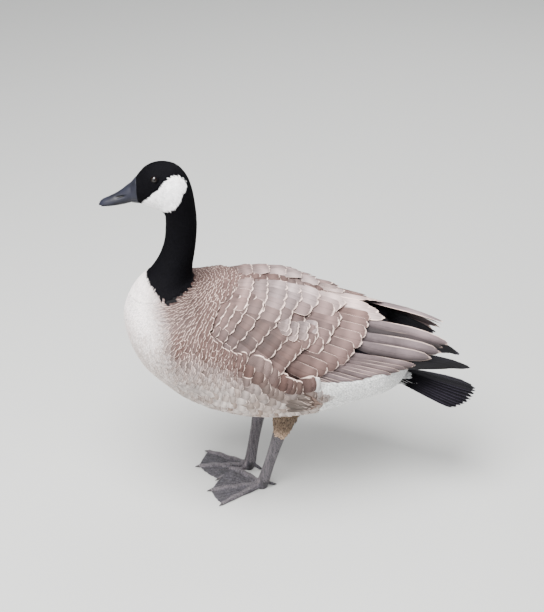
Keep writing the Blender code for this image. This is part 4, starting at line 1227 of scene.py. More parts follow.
class GOOSE_OT_body_plumage(bpy.types.Operator):
    """Adds the small feathers of head, neck, breast, back and belly."""

    bl_idname = "goose.body_plumage"
    bl_label = "Body plumage"

    def execute(self, context):
        surface = body_surface()
        chance = np.random.default_rng(BODY_SEED)
        flank, gap, across = self.spacing(surface, context.scene.goose_shape.feather_size)
        roots = rows_of_roots(surface, gap, across, chance)
        point = surface.at(roots)[0]
        keep = self.clear_of_eyes(point) & self.clear_of_wings(point) & self.clear_of_bill(surface, roots)
        roots, point = roots[keep], point[keep]
        count = len(roots)
        ring = roots[:, 0] / surface.rows * LAST_RING
        tint, edge, rim = self.colours(point, ring, chance)
        flank, gap, across = (surface_value(surface, values, roots) for values in (flank, gap, across))
        shaggy = (ring >= 13.6) & (smooth(0.22, 0.5, tint.mean(-1)) > 0.5) & (flank < 0.3)
        overlap = np.interp(ring, (0.0, 7.6, 13.2, 16.0, 33.0), (2.9, 2.8, 2.8, 2.7, 2.6)) + 0.7 * flank
        length = gap * overlap * np.where(shaggy, 1.3, 1.0)
        width = across * (1.6 - 0.15 * flank)
        turn = chance.normal(0.0, 0.035, count) + 0.12 * drift(point, 16.0, LIE_DRIFT)
        tips = grow_along(surface, roots, length * chance.uniform(0.86, 1.14, count), turn)
        depth = np.interp(ring, (0.0, 7.0, 13.0, 17.0), (0.8, 1.1, 2.0, 2.8))
        high = np.interp(ring, (0.0, 7.0, 13.0, 17.0), (0.25, 0.35, 0.5, 0.8)) * np.where(shaggy, 0.45, 1.0)
        high = high * chance.uniform(0.5, 1.5, count)
        bake = bake_patches(surface, roots)
        groups = (
            ("head_coat", ring < NECK_START, TUFT, "head_feathers", "black_plumage"),
            ("neck_coat", (ring >= NECK_START) & (ring < 13.6), TUFT, "neck_feathers", "black_plumage"),
            ("breast_coat", shaggy & (point[:, 0] < -60.0), SHAGGY_FEATHER, "body_feathers", "body_plumage"),
            ("belly_coat", shaggy & (point[:, 0] >= -60.0), SHAGGY_FEATHER, "body_feathers", "body_plumage"),
            ("side_coat", (ring >= 13.6) & ~shaggy, BODY_FEATHER, "body_feathers", "body_plumage"),
        )
        for name, own, vane, slot, plumage in groups:
            laid = lay(surface, roots[own], tips[own], vane, width[own], -depth[own], high[own],
                       roll=chance.normal(0.0, 0.05, int(own.sum())), lift=over_wing_edge)
            batch = Batch(vane, laid, tint[own], edge[own], rim[own], 0.13, bake[own])
            place_piece(feather_mesh(name, [batch], plumage), slot)
        self.flank_tufts(surface, chance)
        return {"FINISHED"}

    def spacing(self, surface, size):
        """How much each place belongs to the flank, and the feathers' spacing along and across their lie."""
        ring = np.linspace(0.0, LAST_RING, surface.rows)[:, None]
        x, _, z = np.moveaxis(surface.points, -1, 0)
        flank = smooth(-165.0, -85.0, x) * smooth(160.0, 190.0, z) * (ring > 14.0)
        flank = flank * (1.0 - smooth(235.0, 262.0, z) * smooth(-70.0, -100.0, x)) * smooth(34.0, 16.0, x)
        fore = smooth(-212.0, -175.0, x) * smooth(268.0, 240.0, z) * smooth(162.0, 190.0, z) * (ring > 14.0)
        fore = fore * (1.0 - flank) * smooth(0.0, -40.0, x)
        tint = markings(surface.points.reshape(-1, 3), 0.0)[0]
        dark = 1.0 - smooth(0.22, 0.5, tint.mean(-1)).reshape(x.shape)
        gap = np.interp(ring, (0.0, 3.0, 7.6, 11.0, 13.2, 15.0, 18.0, 22.0, 33.0),
                        (1.5, 1.9, 2.4, 2.8, 3.0, 3.8, 5.0, 5.4, 5.2)) * (0.84 + 0.16 * dark)
        gap = (gap + 4.2 * flank + 2.2 * fore) * size
        broad = 1.0 + 0.9 * np.maximum(dark, 0.8 * flank) + 0.55 * flank + 1.5 * fore
        return flank, gap, gap * np.where(ring < NECK_START, 0.8, np.where(ring < TORSO_START, 0.9, broad))

    def colours(self, point, ring, chance):
        """The markings with each feather's own tone, and the bars of sides and flanks."""
        x, _, z = point.T
        tint, edge, rim = markings(point, chance.uniform(-1.0, 1.0, len(point)))
        tone = chance.uniform(0.85, 1.15, len(point)) + 0.08 * drift(point, 30.0, TONE_DRIFT)
        tint = tint * tone[:, None]
        barred = (ring > 14.5) & (x < 30.0) & (chance.uniform(0.0, 1.0, len(point)) < 0.4)
        tint = mix(tint, tint * (0.80, 0.76, 0.73), barred * smooth(365.0, 300.0, z))
        bars = np.sin((x + 0.25 * z + 4.0 * drift(point, 18.0, BAR_DRIFT)) * 2.0 * math.pi / 12.5)
        band = smooth(262.0, 215.0, z) * smooth(-205.0, -150.0, x) * smooth(34.0, 20.0, x)
        band = band * (1.0 - 0.35 * smooth(172.0, 150.0, z)) * (ring > 14.5)
        return mix(tint, tint * (0.56, 0.50, 0.46), band * smooth(-0.1, 0.9, bars)), edge, rim

    def flank_tufts(self, surface, chance):
        """Long dark feathers that point back from each flank over the white vent."""
        colours = bpy.context.scene.goose_plumage
        brown, belly = np.array(colours.brown), np.array(colours.belly)
        count, middle_z = 46, 228.0
        batches = []
        for side in SIDES.values():
            z = np.linspace(middle_z - 28.0, middle_z + 28.0, count) + chance.uniform(-1.5, 1.5, count)
            x = chance.uniform(-22.0, 8.0, count)
            roots = body_places(surface, np.stack([x, z], -1), side)
            middle = 1.0 - np.abs(z - middle_z) / 32.0
            tip_x = np.minimum(x + 40.0, 24.0 + 26.0 * middle + chance.uniform(-5.0, 3.0, count))
            tip_z = 221.0 + (z - middle_z) * (0.78 - 0.5 * smooth(10.0, 44.0, tip_x))
            tips = body_places(surface, np.stack([tip_x, tip_z], -1), side)
            laid = lay(surface, roots, tips, SHAGGY_FEATHER, 13.0, -1.0, 3.2 + 3.0 * middle)
            tint = brown * (0.9, 1.0, 0.92) * chance.uniform(0.55, 1.05, (count, 1))
            tint = mix(tint, belly * 0.6, 0.3 * smooth(-2.0, -18.0, x))
            bake = bake_patches(surface, roots)
            batches.append(Batch(SHAGGY_FEATHER, laid, tint, tint * 3.4, 0.09, 0.2, bake))
        place_piece(feather_mesh("flank_tufts", batches, "body_plumage"), "body_feathers")

    def clear_of_eyes(self, point):
        away = np.hypot((point[:, 0] - EYE_CENTRE[0] + 0.6) / 6.9, (point[:, 2] - EYE_CENTRE[2]) / 5.4)
        return (away > 1.0) | (np.abs(point[:, 1]) < 12.0)

    def clear_of_bill(self, surface, roots):
        angle = 360.0 * roots[:, 1] / surface.columns
        return roots[:, 0] / (surface.rows - 1) * LAST_RING > bill_border(angle) - 0.06

    def clear_of_wings(self, point):
        angle, _ = envelope_angle(point)
        return outside_polygon(WING_FIELD, point[:, 0], angle) > 0.0


def surface_value(surface, values, places):
    """Values of a surface's grid at the nearest place."""
    rows = np.clip(np.round(places[:, 0]).astype(int), 0, surface.rows - 1)
    return values[rows, np.round(places[:, 1]).astype(int) % surface.columns]


def over_wing_edge(point):
    """Lifts the side's feathers over the front and lower edge of the folded wing."""
    angle, share = envelope_angle(point)
    x = point[..., 0]
    zone = smooth(108.0, 96.0, angle) * smooth(-166.0, -148.0, x) * (1.0 - smooth(18.0, 44.0, x))
    zone = zone * smooth(26.0, 42.0, angle)
    return zone * (np.maximum(1.0 - share, 0.0) * envelope_section(x)[0] + 1.5)


# Tiers of the folded wing. Lines of tips and roots are (x, angle from the back's midline) on the envelope.
LESSER_TIPS = (
    ((-104, 13), (-119, 28), (-131, 42), (-146, 54)),
    ((-98, 17), (-110, 32), (-122, 45), (-139, 57)),
    ((-76, 12), (-89, 29), (-105, 46), (-130, 63)),
    ((-48, 24), (-64, 38), (-84, 53), (-112, 69)),
    ((-20, 44), (-38, 57), (-58, 69), (-84, 80)),
    ((14, 60), (0, 71), (-20, 81), (-48, 89)),
)
LESSER_ROOTS = (
    ((-128, 8), (-140, 22), (-150, 36), (-160, 48)),
    ((-120, 11), (-131, 25), (-142, 38), (-152, 50)),
    ((-106, 5), (-119, 21), (-133, 37), (-151, 55)),
    ((-80, 15), (-96, 29), (-114, 44), (-137, 61)),
    ((-55, 34), (-72, 46), (-90, 58), (-112, 70)),
    ((-26, 51), (-40, 61), (-58, 71), (-84, 80)),
)
# Scapulars: tips, roots, how many, width
SCAPULARS = (
    (((-60, 7), (-62, 20), (-72, 33)), ((-98, 3), (-102, 15), (-110, 27)), 4, 27.0),
    (((-36, 8), (-38, 22), (-50, 37)), ((-78, 3), (-84, 16), (-94, 30)), 4, 30.0),
    (((-11, 9), (-12, 26), (-24, 43)), ((-58, 3), (-62, 16), (-74, 33)), 4, 31.0),
    (((14, 9), (10, 24), (-4, 41)), ((-36, 3), (-40, 16), (-50, 33)), 4, 31.0),
    (((40, 8), (36, 19), (22, 33)), ((-16, 3), (-20, 13), (-30, 27)), 3, 32.0),
    (((82, 8), (74, 16), (60, 27)), ((14, 4), (8, 11), (0, 21)), 3, 29.0),
)


class GOOSE_OT_wings(bpy.types.Operator):
    """Adds both folded wings, tier by tier."""

    bl_idname = "goose.wings"
    bl_label = "Wings"

    def execute(self, context):
        for side_name, side in SIDES.items():
            self.side, self.surface = side, wing_surface(side)
            self.chance = np.random.default_rng(WING_SEEDS[side_name])
            coverts = feather_mesh(f"wing_{side_name}_coverts", self.coverts(), "wing_plumage")
            place_piece(coverts, "wing_feathers")
            flight = feather_mesh(f"wing_{side_name}_flight", self.flight(), "wing_plumage")
            place_piece(flight, "wing_feathers", f"wing_{side_name}")
        return {"FINISHED"}

    def tier(self, tips, roots, count, vane, width, low, high, tint, edge, rim, side_rim=0.03, roll=0.05,
             loose=1.0, sweep=0.0, under=0.0):
        """Feathers side by side between the two ends of a line of tips and a line of roots."""
        share = (np.arange(count) + 0.5) / count
        line = share * (len(tips) - 1)
        noise = self.chance.uniform(-1.0, 1.0, (count, 2)) * (2.2 * loose, 0.9 * loose)
        ends = wing_place(curve(tips, line) + noise)
        starts = wing_place(curve(roots, line) + noise * 0.2)
        width = width * self.chance.uniform(0.9, 1.1, count)
        rise = self.chance.uniform(-0.45, 0.55, count) * loose
        roll = roll + self.chance.normal(0.0, 0.05, count) * loose
        laid = lay(self.surface, starts, ends, vane, width, low, high + rise, roll=-self.side * roll,
                   sweep=-self.side * sweep)
        spots = self.surface.at(ends)[0]
        shades = self.chance.uniform(0.76, 1.22, count) + 0.18 * drift(spots, 34.0, WING_TONE_DRIFT)
        warm = 0.04 * drift(spots, 40.0, WING_WARMTH_DRIFT)[:, None] * (1.0, 0.0, -0.8)
        tints = np.broadcast_to(tint, (count, 3)) * shades[:, None] * (1.0 + warm)
        edges = np.broadcast_to(edge, (count, 3)) * self.chance.uniform(0.9, 1.08, (count, 1))
        # under paints shade on the side of each feather that tucks beneath its neighbour
        shade = 1.0 - under * smooth(0.25, -0.7, -self.side * vane.u)
        return Batch(vane, laid, tints, edges, rim, side_rim, bake_patches(self.surface, starts), shade)

    def coverts(self):
        """Lesser coverts, scapulars, greater coverts and the ruffled rows between them."""
        colours = bpy.context.scene.goose_plumage
        brown, pale, buff = (np.array(c) for c in (colours.brown, colours.pale, colours.buff))
        batches = []

        def add(*line, **how):
            batches.append(self.tier(*line, **how))

        for level in np.linspace(0.0, 5.0, 10):
            tips, roots = (curve(np.array(lines, float).reshape(len(lines), -1), level)[0].reshape(-1, 2)
                           for lines in (LESSER_TIPS, LESSER_ROOTS))
            share = level / 5.0
            add(tips, roots, 7 if level < 3.0 else 6, COVERT, 18.0 + 8.0 * share, -3.8 - 0.8 * share,
                1.1 - 0.7 * share, brown * (0.95 + 0.1 * share), buff, 0.045, roll=0.02)
        for share, (tips, roots, count, width) in zip(np.linspace(0.0, 1.0, len(SCAPULARS)), SCAPULARS):
            inner = np.linspace(1.0, 0.15, count) * min(1.0, 0.25 + share)
            add(tips, roots, count, COVERT, width, -3.4 - share, 2.2 - 0.4 * share,
                mix(brown * 1.5, pale * 0.85, inner), buff * 1.15, 0.045)
        add(((112, 5), (130, 12), (146, 22)), ((26, 3), (38, 7), (50, 12)), 3, QUILL,
            np.array((27.0, 26.0, 22.0)), -5.4, np.array((2.6, 2.0, 1.0)), pale * 1.2, buff * 1.2, 0.03, 0.2,
            roll=0.14, loose=0.5)
        add(((72, 24), (69, 36), (57, 48), (40, 62)), ((22, 20), (15, 31), (5, 42), (-8, 53)), 5,
            GREAT_COVERT, 26.0, -5.0, 0.5, brown * 1.35, buff, 0.045)
        add(((26, 28), (14, 47)), ((-24, 25), (-34, 43)), 3, COVERT, 27.0, -5.6, -2.6, brown, buff, 0.04)
        add(((38, 41), (32, 52), (14, 61)), ((14, 40), (8, 50), (-8, 57)), 5, COVERT, 17.0, -2.4, 2.0,
            brown * 1.2, buff, 0.07, loose=1.5)
        for x, low, high in ((-4, 41, 51), (9, 42, 54), (23, 41, 52), (36, 39, 48)):
            add(((x, low), (x - 2, high)), ((x - 19, low - 2), (x - 20, high - 3)), 3, COVERT, 13.5,
                -2.2, 2.6, mix(brown, pale, 0.36), buff * 1.08, 0.09, loose=1.3)
        add(((120, 16), (114, 34), (104, 51), (84, 66), (56, 77), (26, 86)),
            ((52, 12), (46, 27), (38, 41), (22, 54), (0, 65), (-26, 74)), 9, GREAT_COVERT, 25.0, -6.4, -0.5,
            brown * 1.62, buff, 0.032, roll=0.1)
        return batches

    def flight(self):
        """Primary bases, tertials, secondaries and primary tips. The far wing's lie a little higher."""
        colours = bpy.context.scene.goose_plumage
        flight, buff, black = (np.array(c) for c in (colours.flight, colours.buff, colours.tail))
        raised = self.side > 0.0
        if raised:
            line = ((232, 10), (233, 26), (230, 46), (214, 76))
            width, lift, turned = (21.0, 21.0, 21.0, 21.0), (8.5, 4.0, 0.0, 0.0), (-0.2, 0.0, 0.3, 0.3)
            tone, under, shorter = np.ones((4, 1)), 0.3, 14.0
        else:
            # On the near wing the second tertial lies low and is painted nearly black, a painted shadow in
            # the gap between its neighbours
            line = ((247, 36), (236, 50), (226, 66), (206, 84))
            width, lift, turned = (17.0, 20.0, 23.0, 23.0), (0.0, -3.5, 0.6, 0.4), (0.45, 0.1, 0.34, 0.34)
            tone, under, shorter = np.array(((1.0,), (0.22,), (0.92,), (0.86,))), 0.6, 0.0
        return [
            self.tier(((232, 48), (222, 64), (206, 82)), ((96, 34), (92, 44), (88, 54)), 4, QUILL, 24.0,
                      -11.5, -9.5, black * 4.0, black * 6.0, 0.03),
            self.tier(line, ((88, 16), (87, 28), (85, 40), (82, 52)), 4, QUILL, np.array(width), -7.6,
                      np.array(lift) - 1.0, flight * 1.2 * tone, buff * tone, 0.02, 0.16,
                      roll=np.array(turned), sweep=0.4, loose=0.5, under=under),
            self.tier(((196, 89), (178, 93), (150, 97), (120, 100), (86, 100), (54, 96)),
                      ((88, 60), (74, 64), (56, 69), (36, 74), (12, 79), (-12, 81)), 12, QUILL, 16.0,
                      -8.4, -3.4, flight * 0.95, buff * 0.85, 0.015, 0.12, roll=0.26, loose=1.2, under=0.5),
            self.tier(((283 - shorter, 96), (274 - shorter, 100), (262 - shorter, 104), (244, 106)),
                      ((138, 62), (134, 68), (130, 74), (124, 80)), 8, QUILL, 19.0, -10.4, -6.8, black * 1.5,
                      black * 5.0, 0.03, 0.10, roll=0.16),
        ]


class GOOSE_OT_wing_beds(bpy.types.Operator):
    """Adds the feathered flesh under each wing's coverts."""

    bl_idname = "goose.wing_beds"
    bl_label = "Wing beds"

    # x, upper angle, lower angle, height over the envelope
    bed = (
        (-149, 43, 52, -5), (-124, 21, 61, -5.6), (-94, 9, 70, -5.8), (-58, 6, 82, -6), (-20, 5, 86, -6.4),
        (20, 4.5, 89, -7.4), (60, 10, 92, -8.8), (100, 18, 92, -10), (130, 28, 89, -10.6), (156, 38, 86, -11),
    )

    thickness = 22.0

    def execute(self, context):
        colours = context.scene.goose_plumage
        # The flesh is painted dark, brown in front and near black behind, as painted shade in the gaps
        # between the coverts
        front, back = np.array(colours.brown) * 0.6, np.array(colours.tail) * 2.0
        for side_name, side in SIDES.items():
            surface = wing_surface(side)
            rings = []
            for x, high, low, height in curve(self.bed, np.linspace(0.0, len(self.bed) - 1.0, 60)):
                place = wing_place(np.stack([np.full(24, x), np.linspace(high, low, 24)], -1))
                point, normal, _, _ = surface.at(place)
                inner = (point - normal * self.thickness)[::-1]
                rings.append(np.concatenate([point + normal * height, inner]))
            piece = solid(f"wing_{side_name}_bed", *tube(rings), skin_material())
            set_tint(piece, mix(front, back, smooth(40.0, 70.0, vertex_points(piece)[:, 0])))
            place_piece(piece, "wing_feathers")
        return {"FINISHED"}


TAIL_X = (140.0, 300.0)
TAIL_Y = (-80.0, 80.0)


def tail_surface(outward=1.0):
    x, y = (np.linspace(*span, count) for span, count in zip((TAIL_X, TAIL_Y), TAIL_GRID))
    x, y = x[:, None], y[None]
    z = TAIL_ROOT[1] + TAIL_SLOPE * (x - TAIL_ROOT[0]) - TAIL_ARCH * (y / 46.0) ** 2
    return Surface(np.stack(np.broadcast_arrays(x, y, z), -1), outward=outward)


def tail_place(pairs):
    """Rows and columns of the tail's surface for (x, y) pairs."""
    return grid_place(pairs, TAIL_X, TAIL_Y, TAIL_GRID)


class GOOSE_OT_tail(bpy.types.Operator):
    """Adds the tail's quills and the white coverts round their roots."""

    bl_idname = "goose.tail"
    bl_label = "Tail"

    quills = 18
    spread = math.radians(27.0)
    reach = 123.0

    def execute(self, context):
        chance = np.random.default_rng(TAIL_SEED)
        top = tail_surface()
        self.fan(top, np.array(context.scene.goose_plumage.tail), chance)
        white = np.array(context.scene.goose_plumage.vent)
        batches = []
        for surface, rows, drop, reach in ((tail_surface(-1.0), 5, 13.0, 20.0), (top, 4, 1.5, 16.0)):
            for level in range(rows):
                count = 13 - level
                y = np.linspace(-1.0, 1.0, count) * (22.0 - 2.0 * level) + (level % 2) * 1.5
                x = 148.0 + 8.0 * level + chance.uniform(-2.0, 2.0, count)
                starts = np.stack([x, y], -1)
                ends = starts + np.stack([np.full(count, reach), y * 0.3], -1)
                fade = level / rows
                laid = lay(surface, tail_place(starts), tail_place(ends), SOFT_FEATHER, 11.0,
                           drop * (1.0 - 0.5 * fade) - 2.0, drop * (0.8 - 0.75 * fade) + 2.0)
                tints = white * chance.uniform(0.93, 1.0, (count, 1))
                bake = bake_patches(surface, tail_place(starts))
                batches.append(Batch(SOFT_FEATHER, laid, tints, tints, 0.08, 0.1, bake))
        place_piece(feather_mesh("tail_coverts", batches, "body_plumage"), "tail_feathers")
        return {"FINISHED"}

    def fan(self, surface, black, chance):
        """The tail's quills, spread from the middle pair outwards and downwards."""
        pairs = self.quills // 2
        number = np.repeat(np.arange(pairs), 2)
        side = np.tile((-1.0, 1.0), pairs)
        share = (number + 0.5) / pairs
        yaw = self.spread * share * side + chance.normal(0.0, 0.008, self.quills)
        length = self.reach * (1.0 - 0.24 * share**1.6)
        roots = np.stack([TAIL_ROOT[0] - 12.0 * share**2, 16.0 * share * side], -1)
        tips = roots * (0.0, 0.3) + (TAIL_ROOT[0], 0.0)
        tips = tips + np.stack([np.cos(yaw), np.sin(yaw)], -1) * length[:, None]
        layer = 2.5 - 1.6 * number + np.where(side > 0, 0.35, 0.0)
        roots, tips = tail_place(roots), tail_place(tips)
        laid = lay(surface, roots, tips, TAIL_QUILL, 16.0, layer, layer + 0.5,
                   roll=0.10 * side + chance.normal(0.0, 0.03, self.quills))
        tints = black * 1.2 * chance.uniform(0.8, 1.3, (self.quills, 1))
        # The pale rims along the black quills are painted highlights
        edges = np.tile(black * 16.0, (self.quills, 1))
        batch = Batch(TAIL_QUILL, laid, tints, edges, 0.012, 0.12, bake_patches(surface, roots))
        place_piece(feather_mesh("tail_quills", [batch], "tail_plumage"), "tail_feathers", "tail")


class GOOSE_OT_thighs(bpy.types.Operator):
    """Adds the short shaggy feathers at the top of each leg."""

    bl_idname = "goose.thighs"
    bl_label = "Thigh plumage"

    def execute(self, context):
        colours = context.scene.goose_plumage
        for side_name in SIDES:
            chance = np.random.default_rng(THIGH_SEEDS[side_name])
            rings = limb_rings(thigh_stations(side_name), (1.0, 5.5), 100, 72)
            surface = Surface(rings, wrap=True)
            if dot(surface.normals, rings - rings.mean(1, keepdims=True)).mean() < 0.0:
                surface = Surface(rings, wrap=True, outward=-1.0)
            gap = np.full(rings.shape[:2], 3.0)
            roots = rows_of_roots(surface, gap, gap * 0.9, chance, jitter=0.3)
            roots = roots[roots[:, 0] < 78.0 + chance.uniform(-4.0, 4.0, len(roots))]
            count = len(roots)
            point = surface.at(roots)[0]
            reach = chance.uniform(9.0, 18.0, count)
            tips = grow_along(surface, roots, reach, chance.normal(0.0, 0.2, count))
            tips[:, 0] = np.minimum(tips[:, 0], surface.rows - 2.0)
            laid = lay(surface, roots, tips, SHAGGY_FEATHER, 4.2, -2.2, chance.uniform(0.0, 3.6, count))
            base = markings(point, chance.uniform(-1.0, 1.0, count))[0]
            leg = smooth(196.0, 176.0, point[:, 2])
            # Painted shadow under the belly: the thigh's upper feathers are painted dark, the lower ones keep
            # about their tone
            shade = (0.34 + 0.72 * smooth(142.0, 116.0, point[:, 2])) * leg + 1.0 - leg
            tint = mix(base, colours.thigh, leg) * shade[:, None] * chance.uniform(0.65, 1.3, (count, 1))
            batch = Batch(SHAGGY_FEATHER, laid, tint, tint * 2.2, 0.3, 0.3, bake_patches(surface, roots))
            place_piece(feather_mesh(f"thigh_{side_name}_coat", [batch], "body_plumage"), "thigh_feathers")
        return {"FINISHED"}


class GOOSE_OT_eyes(bpy.types.Operator):
    """Adds the two eyes."""

    bl_idname = "goose.eyes"
    bl_label = "Eyes"

    def execute(self, context):
        material = eye_material()
        for side_name, side in SIDES.items():
            centre, back, up, out = eye_frame(side)
            rings = []
            for polar in np.linspace(0.02, math.pi - 0.02, 24):
                radius = EYE_RADIUS * math.sin(polar)
                height = EYE_RADIUS * math.cos(polar) * (0.84 if polar < 0.5 * math.pi else 1.0)
                height += 0.25 * math.exp(-((radius / 3.4) ** 2)) * (polar < 1.5)
                rings.append(ring_of(centre + out * height, up * radius, back * radius, 36))
            place_piece(solid(f"eyeball_{side_name}", *tube(rings), material), "eyes", f"eye_{side_name}")
        return {"FINISHED"}


class GOOSE_OT_bill(bpy.types.Operator):
    """Adds the upper and the lower bill."""

    bl_idname = "goose.bill"
    bl_label = "Bill"

    gape_angle = 122.6

    def execute(self, context):
        material = bill_material()
        upper = join(self.upper(material), [self.base(material)])
        melt(upper, context.scene.goose_shape.bill_detail, 4, material)
        place_piece(upper, "bill", "upper_bill")
        place_piece(self.lower(material), "bill", "lower_bill")
        return {"FINISHED"}

    def arc(self, row, edge, crest, width, power, turn):
        """Half of one cross section, blended into the head's oval towards the base."""
        theta = np.linspace(0.0, math.pi, 61)
        y = width * np.cos(theta)
        z = edge + (crest - edge) * np.sin(theta) ** power
        a = np.radians(turn(theta))
        x, top, _, bottom, broad = row
        share = smooth(-262.0, -242.0, x)
        y = y * (1.0 - share) + broad * np.sin(a) * share
        z = z * (1.0 - share) + ((top + bottom) / 2.0 + (top - bottom) / 2.0 * np.cos(a)) * share
        return np.stack([np.full(61, x), y, z], -1)

    def upper(self, material):
        rings = []
        for row in curve(BILL, np.linspace(0.0, len(BILL) - 1.0, 110)):
            _, top, gape, _, width = row
            arc = self.arc(row, gape + 0.15, top, width, 0.85,
                           lambda v: self.gape_angle * (1.0 - 2.0 * v / np.pi))
            floor = arc[1:-1][::-1].copy()
            floor[:, 2] = np.minimum(floor[:, 2], arc[0, 2]) + 0.35
            rings.append(np.concatenate([arc, floor]))
        rings = np.array(rings)
        x, y, z = np.moveaxis(rings, -1, 0)
        nx, nz, long, tall, slope = NOSTRIL
        dx = x - nx
        dz = z - nz - slope * dx
        outside = np.sign(y) * (np.abs(y) > 4.0)
        y -= outside * 2.2 * np.exp(-((dx / long) ** 4 + (dz / tall) ** 4))
        y -= outside * 0.8 * np.exp(-((dx / (long * 1.6)) ** 4 + (dz / (tall * 2.6)) ** 2))
        nail = np.exp(-(((x + 287.0) / 4.6) ** 4 + (y / 4.4) ** 4))
        z += 0.6 * nail * (z > 506.0)
        return solid("bill_upper", *tube(rings), material)

    def lower(self, material):
        rings = []
        for row in curve(BILL, np.linspace(0.0, len(BILL) - 1.0, 110)):
            x, _, gape, bottom, width = row
            if x > -287.2:
                arc = self.arc(row, gape - 0.25, bottom, width * 0.86, 0.8,
                               lambda v: self.gape_angle + (360.0 - 2.0 * self.gape_angle) * v / np.pi)
                lid = arc[1:-1][::-1].copy()
                lid[:, 2] = np.maximum(lid[:, 2], arc[0, 2]) - 0.35
                rings.append(np.concatenate([arc, lid]))
        return solid("bill_lower", *tube(rings), material)

    def base(self, material):
        """The bare skin at the bill's base, over the front of the head, with the corner of the mouth."""
        surface = body_surface()
        column = np.arange(0, surface.columns, 2)
        angle = 360.0 * column / surface.columns
        mouth = np.exp(-(((np.minimum(angle, 360.0 - angle) - self.gape_angle) / 3.2) ** 2))
        rings = []
        for share in np.linspace(0.0, 1.0, 16):
            row = bill_border(angle) * share / LAST_RING * (surface.rows - 1)
            point, normal, _, _ = surface.at(np.stack([row, column.astype(float)], -1))
            height = 0.12 + 0.1 * math.sin(math.pi * share) - 0.9 * mouth * (1.0 - share**3)
            if share == 0.0:
                rings.append(point * (1.0, 0.93, 1.0) - (1.4, 0.0, 0.0) - normal * (0.0, 0.0, 1.0))
            rings.append(point + normal * height[:, None])
        rings.append(point - normal * 2.5)
        return solid("bill_base", *tube(rings), material)


# Legs and feet

def leg_line(side_name):
    side = SIDES[side_name]
    ankle, base = THIGHS[side_name][-3], FOOT_BASE[side_name]
    top = np.array([ankle[0], side * ankle[1], ankle[2] + 4.0])
    low = np.array([base[0], side * base[1], TARSUS_FOOT_Z - 8.0])
    return top, low


def toe_point(side_name, toe, share):
    """A point on a toe's middle line, with the toe's half depth there."""
    heading, length, middle_lift, tip_lift = TOES[side_name][toe]
    base = FOOT_BASE[side_name]
    knuckles = 0.4 * math.cos(share * 6.0 * math.pi)
    root = max(0.0, 1.0 - share / 0.3) ** 2
    radius = TOE_SLIMNESS.get((side_name, toe), 1.0) * (TOE_RADIUS * (1.0 - 0.42 * share) + knuckles + root)
    a = math.radians(heading + 5.0 * (share - 0.5))
    x = base[0] + length * share * math.cos(a)
    y = SIDES[side_name] * base[1] + length * share * math.sin(a)
    lift = middle_lift * math.sin(math.pi * min(share * 0.75, 1.0)) ** 2
    lift += (tip_lift - middle_lift * math.sin(math.pi * 0.75) ** 2) * share**2
    rise = 6.5 * root
    return np.array([x, y, 0.84 * radius + lift + rise]), radius


def toe_end(side_name, toe, further=0.0):
    """The share of a toe at which its claw begins, or that many millimetres further."""
    return 1.0 - (CLAW_LENGTH - further) / TOES[side_name][toe][1]


def hallux_stations(side_name):
    base = FOOT_BASE[side_name]
    y, inward = SIDES[side_name] * base[1], -SIDES[side_name] * 0.3
    return [(base[0] + 2.0 + HALLUX_LENGTH * s, y + inward * HALLUX_LENGTH * s, 11.0 - 10.6 * s,
             3.6 - 1.2 * s, 3.4 - 1.0 * s) for s in (0.0, 0.4, 0.8)]


